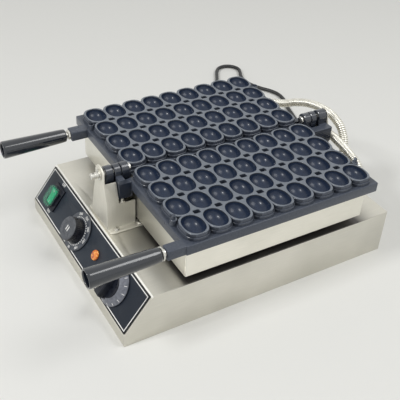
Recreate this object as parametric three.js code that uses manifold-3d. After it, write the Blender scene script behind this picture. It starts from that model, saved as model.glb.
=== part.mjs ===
// Countertop waffle iron for small ball waffles: two hinged cast halves over a sloped control base.
// Units are millimetres. +Z is up, the control panel faces -Y and both halves turn about an axis along Y.
import * as THREE from "three";
import { mergeVertices } from "three/addons/utils/BufferGeometryUtils.js";
import Module from "manifold-3d";

const wasm = await Module();
wasm.setup();

// Clearances and overruns shared by the whole iron
const seatGap = 0.3;
const cutOverrun = 2;
const joinOverlap = 1;
const sheet = 1.5;

// Cast moulds
const cavityPitchX = 38.08;
const cavityPitchY = 30;
const cavityRows = 4;
const cavityColumns = 9;
const firstRowX = 24;
const openingHalfX = 17.3;
const openingHalfY = 13.2;
const openingPower = 2.2;
const rimWall = 3.1;
const rimPower = 2.8;
const bowlDepth = 12.5;
const openingSides = 10;
const rimSides = 12;
const pocketX = 5.5;
const pocketY = 8.5;
const halfGap = 2;
const plateMarginX = 3.36;
const plateMarginY = 5.2;
const plateThickness = 13.6;
const plateCorner = 1.5;
const rimRise = 8.8;
const knuckleNotch = 11;
const lastRowX = firstRowX + (cavityRows - 1) * cavityPitchX;
const lastColumnY = ((cavityColumns - 1) / 2) * cavityPitchY;
const plateOuterX = lastRowX + openingHalfX + rimWall + plateMarginX;
const plateHalfY = lastColumnY + openingHalfY + rimWall + plateMarginY;

// Base housing: its depth follows the hinge brackets and its width the heater covers
const coverSetback = 12;
const coverOuterX = plateOuterX - coverSetback;
const baseSideMargin = 3;
const baseHalfWidth = coverOuterX + baseSideMargin;
const baseHeight = 66.7;
const lipHeight = 17.3;
const slopeRun = 37.5;
const floorSkirt = 12;
const bracketSetback = 3.2;
const rearMargin = 4.4;

// Hinge line and the spacing of everything on it, measured from the plate's edge at either end
const hingeHeight = 143;
const plateDrop = 9;
const plateTop = hingeHeight - plateDrop;
const plateBottom = plateTop - plateThickness;
const rimTop = plateTop + rimRise;
const boltRadius = 4.1;
const knuckleRadius = 9;
const knuckleNeckDrop = 13;
const knuckleNeckRise = 3;
const innerKnuckle = { start: plateHalfY - 3.1, end: plateHalfY + 7.1 };
const middleKnuckle = { start: plateHalfY + 8.1, end: plateHalfY + 16.9 };
const frontOuterKnuckle = { start: plateHalfY + 18.7, end: plateHalfY + 28.9 };
const rearOuterKnuckle = { start: plateHalfY + 21.5, end: plateHalfY + 35.1 };
const frontWebGap = 4.1;
const rearWebGap = 0.8;
const frontBoltTail = 12;
const rearBoltTail = 3.2;
const frontWebHead = 13;
const rearWebHead = 9.5;
const boltHeadRadius = 5.5;
const boltHeadLength = 3.5;
const boltEyeRadius = 1;
const boltEyeInset = 3.5;
const clipRadius = 7;
const clipThickness = 1.6;
const boltSides = 12;

// The two ends of the hinge. Distances run outward from the middle of the moulds.
const front = {
  side: -1,
  outerKnuckle: frontOuterKnuckle,
  webReach: frontOuterKnuckle.end + frontWebGap,
  webHeadRadius: frontWebHead,
  boltTail: frontBoltTail,
};
const rear = {
  side: 1,
  outerKnuckle: rearOuterKnuckle,
  webReach: rearOuterKnuckle.end + rearWebGap,
  webHeadRadius: rearWebHead,
  boltTail: rearBoltTail,
};
const bracketSpan = front.webReach + rear.webReach + 2 * sheet;
const baseHalfDepth = (slopeRun + bracketSetback + bracketSpan + rearMargin) / 2;
const mouldCentreY = baseHalfDepth - rearMargin - sheet - rear.webReach;

// Locating pins of the near half and their sockets in the far half
const locatorInset = 5.6;
const locatorBossRadius = 4.6;
const locatorPinRadius = 2.6;
const locatorPinRise = 6;
const locatorSocketRadius = 3.2;
const locatorSides = 10;

// Hinge lugs and stop screws
const lugOuterX = 20;
const lugInnerX = 8;
const forkOuterX = 24;
const forkInnerX = 11;
const lugDepth = 23;
const lugTop = plateTop;
const lugBottom = lugTop - lugDepth;
const stopRadius = 2.9;
const stopX = 16.6;
const forkStopX = 20;
const stopDepth = 9;
const stopHeadRadius = 4.2;
const stopHeadHeight = 2.4;

// Hinge brackets
const bracketRightX = 20;
const bracketLeftX = 31;
const stopLedgeDrop = 6;
const creaseRise = 3.5;
const stopLedge = lugBottom - stopLedgeDrop;
const creaseHeight = stopLedge + creaseRise;
const webNeckX = 12.5;
const webNeckHeight = plateTop;
const webHeadSides = 8;
const webHeadStart = THREE.MathUtils.degToRad(-10);
const flangeDepth = 39.5;
const leanClearance = 0.9;
const footWidth = 11.5;
const footDepth = 49;
const footFirstScrew = 11;
const footLastScrew = 5.2;
const footScrewShift = 1.2;
const screwHeadRadius = 3.9;
const screwHeadHeight = 2.3;
const screwShankRadius = 2;
const screwShankLength = 9;
const screwSides = 8;

// Heater covers
const coverInnerX = 13.9;
const coverEndSetback = 6.5;
const coverHalfY = plateHalfY - coverEndSetback;
const coverGroundGap = 8.3;
const coverBottom = baseHeight + coverGroundGap;
const coverTop = plateBottom - seatGap;
const coverCorner = 1.5;
const coverBevel = 1;

// Heating elements and insulation
const elementRadius = 4;
const elementInsetX = 30;
const elementInsetY = 24;
const elementLegs = 4;
const elementSteps = 22;
const elementSides = 6;
const elementHeight = plateBottom - seatGap - elementRadius;
const blanketShare = 0.68;
const blanketClearance = 3.5;

// Handles
const nearArmInset = 9;
const nearArmX = plateOuterX - nearArmInset;
const nearArmHalfWidth = 7.5;
const farArmInset = 33.5;
const farArmX = plateOuterX - farArmInset;
const farArmHalfWidth = 8.5;
const armLength = 23.2;
const armBevel = 2;
const handleDrop = 6;
const handleHeight = plateTop - handleDrop;
const armFace = plateHalfY + armLength;
const gripRootRadius = 9.15;
const gripEndRadius = 12;
const gripLength = 89;
const gripStandoff = 6.3;
const gripRoot = armFace + gripStandoff;
const gripHollowRadius = 9.3;
const gripHollowDepth = 24;
const gripRound = 1.2;
const gripSides = 20;
const studRadius = 4;
const studInArm = 16;
const studInGrip = 30;
const ferruleRadius = 8.4;
const ferruleLength = 5.2;
const lockNutRadius = 6.8;
const lockNutLength = 3.4;

// Control panel: x across, v up the slope from its lower edge, h out from the sheet
const fasciaMargin = 2;
const fasciaThickness = 1;
const switchInset = 44.4;
const switchX = switchInset - baseHalfWidth;
const switchV = 31.9;
const switchFlangeX = 27.4;
const switchFlangeV = 35;
const switchFlangeHeight = 2.4;
const switchCollarX = 22;
const switchCollarV = 29.4;
const switchCollarHeight = 4.6;
const switchBodyX = 19;
const switchBodyV = 25.5;
const switchBodyDepth = 24;
const switchWellDepth = 7;
const rockerX = 12.6;
const rockerV = 22.6;
const rockerRise = 2.6;
const rockerDish = 0.9;
const rockerTilt = 6;
const bootWall = 0.9;
const bootRise = 4;
const bootCorner = 5;
const thermostatX = -24;
const thermostatV = 31;
const thermostatSkirtRadius = 27;
const thermostatGripRadius = 21.5;
const thermostatHeight = 19;
const thermostatFlutes = 8;
const fluteRadius = 5;
const fluteBiteShare = 0.6;
const timerInset = 60;
const timerX = baseHalfWidth - timerInset;
const timerV = 30;
const timerSkirtRadius = 26.5;
const timerCrownRadius = 19.5;
const timerSkirtHeight = 8;
const timerGripLength = 37;
const timerGripWidth = 13;
const timerHeight = 20;
const knobDisc = 2.6;
const knobLift = 0.8;
const knobSides = 24;
const bushSides = 12;
const fluteSides = 6;
const shaftRadius = 3;
const bushRadius = 5;
const bushLength = 4.2;
const knobSocketDepth = 8;
const thermostatBodySize = 34;
const thermostatBodyDepth = 22;
const timerBodySize = 38;
const timerBodyDepth = 25;
const lampX = 31;
const lampV = 31.6;
const lampLensRadius = 7.1;
const lampLensHeight = 3.2;
const lampTailRadius = 4;
const lampTailLength = 5;
const lampBodyRadius = 5.6;
const lampBodyLength = 16;
const lampSides = 12;

// Wiring inside the base
const terminalLength = 64;
const terminalWidth = 22;
const terminalHeight = 16;
const terminalSlotWidth = 6;
const terminalSlotDepth = 7;
const terminalWays = 5;
const terminalInset = 80;
const terminalY = baseHalfDepth - terminalInset;

// Conduits and their glands
const conduitRadius = 6.3;
const conduitValley = 5.5;
const conduitBore = 4.4;
const conduitSides = 8;
const farConduitRibs = 55;
const nearConduitRibs = 45;
const ribsPerBoreRing = 5;
const glandTailRadius = 6;
const glandTailLength = 4;
const glandHexRadius = 10;
const glandHexLength = 4;
const glandCapRadius = 9;
const glandCapLength = 4;
const glandBore = 4;
const glandSides = 8;
const baseGlandInset = 11.5;
const farBaseGlandX = 53;
const nearBaseGlandX = -44;
const farGlandInset = 18;
const nearGlandInset = 44;

// Hose routes: share of the way between the glands' leads, then of the arch's depth and of its rise
const farArchDepth = 40;
const farArchRise = 40;
const farHoseShares = [
  [-0.005, 0.288, 0.004],
  [0.005, 0.57, 0.021],
  [0.041, 0.775, 0.06],
  [0.108, 0.926, 0.154],
  [0.168, 1.001, 0.308],
  [0.23, 1.054, 0.485],
  [0.344, 1.064, 0.756],
  [0.469, 1.016, 0.973],
  [0.568, 0.961, 1.088],
  [0.656, 0.909, 1.138],
  [0.734, 0.848, 1.106],
  [0.808, 0.773, 1.026],
  [0.856, 0.729, 0.823],
  [0.878, 0.704, 0.714],
  [0.905, 0.627, 0.547],
  [0.938, 0.484, 0.423],
  [0.97, 0.304, 0.323],
  [0.991, 0.143, 0.206],
  [0.999, 0.038, 0.085],
];
const nearArchDepth = 28;
const nearArchRise = 22;
const nearHoseShares = [
  [0.003, 0.297, 0.091],
  [0.027, 0.565, 0.267],
  [0.08, 0.702, 0.51],
  [0.14, 0.744, 0.713],
  [0.199, 0.727, 0.837],
  [0.264, 0.736, 0.93],
  [0.367, 0.763, 1.045],
  [0.44, 0.788, 1.076],
  [0.506, 0.815, 1.092],
  [0.587, 0.848, 1.109],
  [0.68, 0.815, 1.104],
  [0.773, 0.742, 1.058],
  [0.853, 0.633, 0.935],
  [0.92, 0.473, 0.71],
  [0.97, 0.273, 0.428],
  [0.993, 0.095, 0.195],
];

// Mains cord
const cordRadius = 3.25;
const cordSides = 8;
const cordSteps = 56;
const cordExitInset = 83;
const cordExitX = cordExitInset - baseHalfWidth;
const cordExitHeight = 28;
const reliefLength = 24;
const reliefRootRadius = 7;
const reliefTipRadius = 4.6;
const reliefNutRadius = 9.5;
const reliefNutLength = 6;
const coilSideGap = 123;
const coilRearInset = 60;
const coilX = -baseHalfWidth - coilSideGap;
const coilY = baseHalfDepth - coilRearInset;
const coilRadius = 35.5;
const coilTurnGap = 1.5;
const coilTurnsPerLayer = 1.84;
const coilStartAngle = THREE.MathUtils.degToRad(205);
const coilStepsPerTurn = 24;
const coilClimbTurns = 0.5;
const coilSides = 6;
const coilLead = 7;
const coilTail = 36;
const floorRest = 0.65;
const plugHalfWidth = 16.5;
const plugHalfHeight = 10.8;
const plugPower = 3;
const plugNeckRadius = 5;
const plugNeckLength = 16;
const plugShoulder = 8;
const plugBodyLength = 24;
const plugPinRadius = 2.4;
const plugPinLength = 19;
const plugPinSpacing = 19;
const plugSides = 16;

const materials = {
  stainless: new THREE.MeshStandardMaterial({ color: 0xc9c6bd, roughness: 0.35, metalness: 0.9 }),
  castCoating: new THREE.MeshStandardMaterial({ color: 0x3a4356, roughness: 0.45, metalness: 0.2 }),
  phenolic: new THREE.MeshStandardMaterial({ color: 0x26272b, roughness: 0.25, metalness: 0 }),
  plated: new THREE.MeshStandardMaterial({ color: 0xd2d0c8, roughness: 0.25, metalness: 1 }),
  fascia: new THREE.MeshStandardMaterial({ color: 0x2f3846, roughness: 0.55, metalness: 0.1 }),
  blackPlastic: new THREE.MeshStandardMaterial({ color: 0x1b1c21, roughness: 0.4, metalness: 0 }),
  greenLens: new THREE.MeshStandardMaterial({ color: 0x1fb56b, roughness: 0.2, metalness: 0 }),
  clearBoot: new THREE.MeshStandardMaterial({ color: 0xb9d9c8, roughness: 0.15, metalness: 0 }),
  amberLens: new THREE.MeshStandardMaterial({ color: 0xe0701c, roughness: 0.2, metalness: 0 }),
  conduit: new THREE.MeshStandardMaterial({ color: 0xcfc8b4, roughness: 0.35, metalness: 0.8 }),
  rubber: new THREE.MeshStandardMaterial({ color: 0x23272a, roughness: 0.6, metalness: 0 }),
  sheath: new THREE.MeshStandardMaterial({ color: 0x8a8c90, roughness: 0.5, metalness: 0.8 }),
  mineralWool: new THREE.MeshStandardMaterial({ color: 0xd9d4c2, roughness: 0.95, metalness: 0 }),
  ceramic: new THREE.MeshStandardMaterial({ color: 0xece8dc, roughness: 0.6, metalness: 0 }),
};

// Solid modelling helpers
const axisX = new THREE.Vector3(1, 0, 0);
const axisY = new THREE.Vector3(0, 1, 0);
const axisZ = new THREE.Vector3(0, 0, 1);

function solidOf(geometry) {
  const bare = geometry.index ? geometry.toNonIndexed() : geometry.clone();
  bare.deleteAttribute("normal");
  bare.deleteAttribute("uv");
  const merged = mergeVertices(bare);
  return new wasm.Manifold(
    new wasm.Mesh({
      numProp: 3,
      vertProperties: merged.attributes.position.array,
      triVerts: new Uint32Array(merged.index.array),
    }),
  );
}

function geometryOf(solid) {
  const mesh = solid.getMesh();
  const geometry = new THREE.BufferGeometry();
  geometry.setAttribute("position", new THREE.BufferAttribute(mesh.vertProperties, 3));
  geometry.setIndex(new THREE.BufferAttribute(mesh.triVerts, 1));
  const facets = geometry.toNonIndexed();
  facets.computeVertexNormals();
  return facets;
}

function piece(name, material, solid) {
  const mesh = new THREE.Mesh(solid.isBufferGeometry ? solid : geometryOf(solid), material);
  mesh.name = name;
  return mesh;
}

// A block between two corners.
function block([x0, x1], [y0, y1], [z0, z1]) {
  const geometry = new THREE.BoxGeometry(x1 - x0, y1 - y0, z1 - z0);
  geometry.translate((x0 + x1) / 2, (y0 + y1) / 2, (z0 + z1) / 2);
  return solidOf(geometry);
}

// An outline pushed along an axis. Its two coordinates are y,z for x; x,z for y; x,y for z.
function prism(outline, axis, from, to) {
  const shape = new THREE.Shape(outline.map(([u, v]) => new THREE.Vector2(u, v)));
  const geometry = new THREE.ExtrudeGeometry(shape, { depth: to - from, bevelEnabled: false });
  const place = new THREE.Matrix4();
  if (axis === "x") place.makeBasis(axisY, axisZ, axisX).setPosition(from, 0, 0);
  if (axis === "y") place.makeBasis(axisX, axisZ, axisY.clone().negate()).setPosition(0, to, 0);
  if (axis === "z") place.setPosition(0, 0, from);
  return solidOf(geometry.applyMatrix4(place));
}

// A turned piece on an axis through a point: profile pairs are radius and distance along the axis.
function turned(profile, sides, axis, [x, y, z]) {
  const points = profile.map(([r, d]) => new THREE.Vector2(r, d));
  const geometry = new THREE.LatheGeometry(points, sides);
  const turn = new THREE.Quaternion().setFromUnitVectors(axisY, axis);
  geometry.applyQuaternion(turn).translate(x, y, z);
  return solidOf(geometry);
}

function rod(radius, sides, axis, at, from, to) {
  return turned([[0, from], [radius, from], [radius, to], [0, to]], sides, axis, at);
}

// A closed skin over rings of points that all have the same count.
function loft(rings) {
  const positions = rings.flat().flatMap((p) => [p.x, p.y, p.z]);
  const count = rings[0].length;
  const index = [];
  for (let k = 0; k + 1 < rings.length; k++) {
    for (let i = 0; i < count; i++) {
      const j = (i + 1) % count;
      const a = k * count + i;
      const b = k * count + j;
      index.push(a, b, b + count, a, b + count, a + count);
    }
  }
  for (const k of [0, rings.length - 1]) {
    const centre = positions.length / 3;
    const middle = rings[k].reduce((sum, p) => sum.add(p), new THREE.Vector3()).divideScalar(count);
    positions.push(middle.x, middle.y, middle.z);
    for (let i = 0; i < count; i++) {
      const a = k * count + i;
      const b = k * count + ((i + 1) % count);
      if (k === 0) index.push(centre, b, a);
      else index.push(centre, a, b);
    }
  }
  const geometry = new THREE.BufferGeometry();
  geometry.setAttribute("position", new THREE.Float32BufferAttribute(positions, 3));
  geometry.setIndex(index);
  return geometry;
}

// Points of a rounded oval, counterclockwise.
function oval(x, y, halfX, halfY, power, sides) {
  const points = [];
  for (let i = 0; i < sides; i++) {
    const turn = (2 * Math.PI * (i + 0.5)) / sides;
    const c = Math.cos(turn);
    const s = Math.sin(turn);
    const dx = Math.sign(c) * halfX * Math.abs(c) ** (2 / power);
    const dy = Math.sign(s) * halfY * Math.abs(s) ** (2 / power);
    points.push([x + dx, y + dy]);
  }
  return points;
}

// A rectangle with cut corners, counterclockwise.
function cutRectangle([x0, x1], [y0, y1], corner) {
  return [
    [x0 + corner, y0],
    [x1 - corner, y0],
    [x1, y0 + corner],
    [x1, y1 - corner],
    [x1 - corner, y1],
    [x0 + corner, y1],
    [x0, y1 - corner],
    [x0, y0 + corner],
  ];
}

function joined(solids) {
  return solids.reduce((sum, next) => sum.add(next));
}

function cut(solid, cutters) {
  return cutters.reduce((left, cutter) => left.subtract(cutter), solid);
}

// Places along Y are given as distances from the middle of the moulds, towards the front or the rear.
function alongY(end, distance) {
  return mouldCentreY + end.side * distance;
}

function outwardOf(end) {
  return new THREE.Vector3(0, end.side, 0);
}

function bracketFace(end) {
  return end.webReach + sheet;
}

function spanY(end, start, stop) {
  return [alongY(end, start), alongY(end, stop)].sort((a, b) => a - b);
}

// Base housing
const baseSideOutline = [
  [-baseHalfDepth, 0],
  [baseHalfDepth, 0],
  [baseHalfDepth, baseHeight],
  [-baseHalfDepth + slopeRun, baseHeight],
  [-baseHalfDepth, lipHeight],
];
const slopeAngle = Math.atan2(baseHeight - lipHeight, slopeRun);
const slopeLength = Math.hypot(baseHeight - lipHeight, slopeRun);

// The inner face of the folded sheet keeps one sheet thickness from every outer face.
function baseHollow() {
  const y0 = -baseHalfDepth + sheet;
  const top = baseHeight - sheet;
  const halfTurn = slopeAngle / 2;
  const lipTop = lipHeight - sheet * Math.tan(Math.PI / 4 - halfTurn);
  const slopeTop = -baseHalfDepth + slopeRun + sheet * Math.tan(halfTurn);
  const outline = [
    [y0, -cutOverrun],
    [baseHalfDepth - sheet, -cutOverrun],
    [baseHalfDepth - sheet, top],
    [slopeTop, top],
    [y0, lipTop],
  ];
  return prism(outline, "x", -baseHalfWidth + sheet, baseHalfWidth - sheet);
}

// Solids drawn on the panel's own x, v and h are turned onto the slope.
const panelPlace = new THREE.Matrix4()
  .makeRotationX(slopeAngle)
  .setPosition(0, -baseHalfDepth, lipHeight);

function onPanel(solid) {
  return solidOf(geometryOf(solid).applyMatrix4(panelPlace));
}

function panelHoles(clearance) {
  const reach = sheet + fasciaThickness + cutOverrun;
  const bush = bushRadius + clearance;
  const lampTail = lampTailRadius + clearance;
  const halfX = switchBodyX / 2 + clearance;
  const halfV = switchBodyV / 2 + clearance;
  return [
    block([switchX - halfX, switchX + halfX], [switchV - halfV, switchV + halfV], [-reach, reach]),
    rod(bush, bushSides, axisZ, [thermostatX, thermostatV, 0], -reach, reach),
    rod(bush, bushSides, axisZ, [timerX, timerV, 0], -reach, reach),
    rod(lampTail, lampSides, axisZ, [lampX, lampV, 0], -reach, reach),
  ];
}

const footScrewPlaces = [];
for (const end of [front, rear]) {
  for (const side of [1, -1]) {
    const edge = side * end.side < 0 ? bracketRightX : bracketLeftX;
    for (const inset of [footFirstScrew, footDepth - footLastScrew]) {
      footScrewPlaces.push({
        end,
        x: side * (edge + footWidth / 2 - sheet / 2 - footScrewShift),
        y: alongY(end, bracketFace(end) - inset),
      });
    }
  }
}

const baseGlandY = baseHalfDepth - baseGlandInset;
const coverGlandY = alongY(rear, coverHalfY);
const coverGlandHeight = (coverBottom + coverTop) / 2;
const farBaseGland = new THREE.Vector3(farBaseGlandX, baseGlandY, baseHeight);
const nearBaseGland = new THREE.Vector3(nearBaseGlandX, baseGlandY, baseHeight);
const farCoverGland = new THREE.Vector3(farGlandInset - coverOuterX, coverGlandY, coverGlandHeight);
const nearCoverGland = new THREE.Vector3(coverOuterX - nearGlandInset, coverGlandY, coverGlandHeight);

function baseShell() {
  const outer = prism(baseSideOutline, "x", -baseHalfWidth, baseHalfWidth);
  const holes = panelHoles(seatGap).map(onPanel);
  for (const { x, y } of footScrewPlaces) {
    const radius = screwShankRadius + seatGap;
    holes.push(rod(radius, screwSides, axisZ, [x, y, baseHeight], -sheet - cutOverrun, cutOverrun));
  }
  for (const gland of [farBaseGland, nearBaseGland]) {
    const radius = glandTailRadius + seatGap;
    holes.push(rod(radius, glandSides, axisZ, gland.toArray(), -sheet - cutOverrun, cutOverrun));
  }
  const cordHole = [cordExitX, baseHalfDepth, cordExitHeight];
  const cordHoleRadius = reliefTipRadius + seatGap;
  holes.push(rod(cordHoleRadius, glandSides, axisY, cordHole, -sheet - cutOverrun, cutOverrun));
  return piece("base_shell", materials.stainless, cut(outer.subtract(baseHollow()), holes));
}

// A folded tray closes the underside.
function bottomPlate() {
  const halfX = baseHalfWidth - sheet - seatGap;
  const halfY = baseHalfDepth - sheet - seatGap;
  const skirt = Math.min(floorSkirt, lipHeight - 2 * sheet);
  const tray = block([-halfX, halfX], [-halfY, halfY], [0, skirt]);
  const innerX = halfX - sheet;
  const innerY = halfY - sheet;
  const inside = block([-innerX, innerX], [-innerY, innerY], [sheet, skirt + cutOverrun]);
  return piece("bottom_plate", materials.stainless, tray.subtract(inside));
}

function controlFascia() {
  const halfX = baseHalfWidth - fasciaMargin;
  const span = [fasciaMargin, slopeLength - fasciaMargin];
  const plate = block([-halfX, halfX], span, [seatGap, seatGap + fasciaThickness]);
  return piece("control_fascia", materials.fascia, onPanel(cut(plate, panelHoles(seatGap))));
}

const fasciaFace = 2 * seatGap + fasciaThickness;

// The switch body drops through the panel from the front and its flange sits on the fascia.
function switchHousing() {
  const flangeTop = fasciaFace + switchFlangeHeight;
  const collarTop = flangeTop + switchCollarHeight;
  const around = (sizeX, sizeV) => [
    [switchX - sizeX / 2, switchX + sizeX / 2],
    [switchV - sizeV / 2, switchV + sizeV / 2],
  ];
  const flange = block(...around(switchFlangeX, switchFlangeV), [fasciaFace, flangeTop]);
  const collar = prism(
    cutRectangle(...around(switchCollarX, switchCollarV), bootCorner),
    "z",
    fasciaFace,
    collarTop,
  );
  const body = block(...around(switchBodyX, switchBodyV), [-switchBodyDepth, flangeTop]);
  const wellX = rockerX + 2 * seatGap;
  const wellV = rockerV + 2 * seatGap;
  const wellTop = collarTop + cutOverrun;
  const well = block(...around(wellX, wellV), [collarTop - switchWellDepth, wellTop]);
  const housing = joined([flange, collar, body]).subtract(well);
  return piece("switch_housing", materials.blackPlastic, onPanel(housing));
}

const rockerAxisHeight = fasciaFace + switchFlangeHeight + switchCollarHeight - rockerDish;

// The rocker lies in its well, tipped to one side, and turns on a line across the switch.
function switchRocker() {
  const half = rockerV / 2;
  const keel = rockerDish + rockerRise;
  const outline = [
    [-half, -rockerDish],
    [0, -keel],
    [half, -rockerDish],
    [half, rockerRise - rockerDish],
    [0, rockerRise - 2 * rockerDish],
    [-half, rockerRise - rockerDish],
  ];
  const lever = prism(outline, "x", -rockerX / 2, rockerX / 2);
  const geometry = geometryOf(lever);
  geometry.rotateX(THREE.MathUtils.degToRad(rockerTilt));
  geometry.translate(switchX, switchV, rockerAxisHeight);
  return piece("switch_rocker", materials.greenLens, geometry.applyMatrix4(panelPlace));
}

// A clear splash boot stands on the collar and keeps batter out of the rocker.
function switchBoot() {
  const base = fasciaFace + switchFlangeHeight + switchCollarHeight + seatGap;
  const halfX = switchCollarX / 2;
  const halfV = switchCollarV / 2;
  const outline = (inset) =>
    cutRectangle(
      [switchX - halfX + inset, switchX + halfX - inset],
      [switchV - halfV + inset, switchV + halfV - inset],
      bootCorner - inset / 2,
    );
  const outer = prism(outline(0), "z", base, base + bootRise);
  const inner = prism(outline(bootWall), "z", base - cutOverrun, base + bootRise - bootWall);
  return piece("switch_boot", materials.clearBoot, onPanel(outer.subtract(inner)));
}

// Knobs are drawn about their own shaft, with h measured from the sheet.
const knobBase = fasciaFace + knobLift;

function knobBore(x, v) {
  const radius = shaftRadius + seatGap;
  const at = [x, v, knobBase];
  return rod(radius, boltSides, axisZ, at, -cutOverrun, knobSocketDepth + seatGap);
}

function thermostatKnob() {
  const top = knobBase + thermostatHeight;
  const at = [thermostatX, thermostatV, 0];
  const skirtTop = knobBase + knobDisc;
  const dish = thermostatGripRadius / 2;
  const profile = [
    [0, knobBase],
    [thermostatSkirtRadius, knobBase],
    [thermostatSkirtRadius, skirtTop],
    [thermostatGripRadius, skirtTop],
    [thermostatGripRadius - gripRound, top - gripRound],
    [thermostatGripRadius - 2 * gripRound, top],
    [dish + gripRound, top],
    [dish, top - gripRound],
    [0, top - gripRound],
  ];
  let knob = turned(profile, knobSides, axisZ, at);
  for (let i = 0; i < thermostatFlutes; i++) {
    const turn = (2 * Math.PI * (i + 0.5)) / thermostatFlutes;
    const reach = thermostatGripRadius + fluteRadius * fluteBiteShare;
    const place = [thermostatX + reach * Math.cos(turn), thermostatV + reach * Math.sin(turn), 0];
    knob = knob.subtract(rod(fluteRadius, fluteSides, axisZ, place, skirtTop, top + cutOverrun));
  }
  knob = knob.subtract(knobBore(thermostatX, thermostatV));
  return piece("thermostat_knob", materials.blackPlastic, onPanel(knob));
}

function timerKnob() {
  const at = [timerX, timerV, 0];
  const skirtTop = knobBase + timerSkirtHeight;
  const profile = [
    [0, knobBase],
    [timerSkirtRadius, knobBase],
    [timerSkirtRadius, knobBase + gripRound],
    [timerCrownRadius, skirtTop],
    [0, skirtTop],
  ];
  const skirt = turned(profile, knobSides, axisZ, at);
  const half = timerGripLength / 2;
  const wide = timerGripWidth / 2;
  const grip = [
    [timerX - half, timerV - wide / 2],
    [timerX - wide, timerV - wide],
    [timerX + wide, timerV - wide],
    [timerX + half, timerV],
    [timerX + wide, timerV + wide],
    [timerX - wide, timerV + wide],
    [timerX - half, timerV + wide / 2],
  ];
  const bar = prism(grip, "z", skirtTop - joinOverlap, knobBase + timerHeight);
  const knob = skirt.add(bar).subtract(knobBore(timerX, timerV));
  return piece("timer_knob", materials.blackPlastic, onPanel(knob));
}

function controlShaft(name, x, v) {
  const shaft = rod(shaftRadius, boltSides, axisZ, [x, v, 0], -bushLength, knobBase + knobSocketDepth);
  return piece(name, materials.plated, onPanel(shaft));
}

// A boxed control hangs behind the panel on a threaded bush, which its shaft passes.
function controlBody(name, x, v, size, depth) {
  const half = size / 2;
  const back = -sheet - seatGap;
  const box = block([x - half, x + half], [v - half, v + half], [back - depth, back]);
  const bush = rod(bushRadius, bushSides, axisZ, [x, v, 0], back - joinOverlap, knobBase - seatGap);
  const bore = shaftRadius + seatGap;
  const bored = rod(bore, boltSides, axisZ, [x, v, 0], -bushLength - seatGap, knobBase + cutOverrun);
  return piece(name, materials.ceramic, onPanel(box.add(bush).subtract(bored)));
}

function pilotLens() {
  const at = [lampX, lampV, 0];
  const top = fasciaFace + lampLensHeight;
  const profile = [
    [0, -lampTailLength],
    [lampTailRadius, -lampTailLength],
    [lampTailRadius, fasciaFace],
    [lampLensRadius, fasciaFace],
    [lampLensRadius, fasciaFace + lampLensHeight / 2],
    [lampLensRadius - gripRound, top - gripRound / 2],
    [lampLensRadius / 2, top],
    [0, top],
  ];
  return piece("pilot_lens", materials.amberLens, onPanel(turned(profile, lampSides, axisZ, at)));
}

function pilotBody() {
  const at = [lampX, lampV, 0];
  const back = -sheet - seatGap;
  const outer = rod(lampBodyRadius, lampSides, axisZ, at, back - lampBodyLength, back);
  const socketRadius = lampTailRadius + seatGap;
  const socket = rod(socketRadius, lampSides, axisZ, at, -lampTailLength - seatGap, cutOverrun);
  return piece("pilot_body", materials.blackPlastic, onPanel(outer.subtract(socket)));
}

function terminalBlock() {
  const z0 = sheet + seatGap;
  const top = z0 + terminalHeight;
  const halfX = terminalLength / 2;
  const y = [terminalY - terminalWidth / 2, terminalY + terminalWidth / 2];
  let body = block([-halfX, halfX], y, [z0, top]);
  const pitch = terminalLength / terminalWays;
  for (let i = 0; i < terminalWays; i++) {
    const x = -halfX + pitch * (i + 0.5);
    const slot = [x - terminalSlotWidth / 2, x + terminalSlotWidth / 2];
    const reach = [y[0] - cutOverrun, y[1] + cutOverrun];
    body = body.subtract(block(slot, reach, [top - terminalSlotDepth, top + cutOverrun]));
  }
  return piece("terminal_block", materials.ceramic, body);
}

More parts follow.
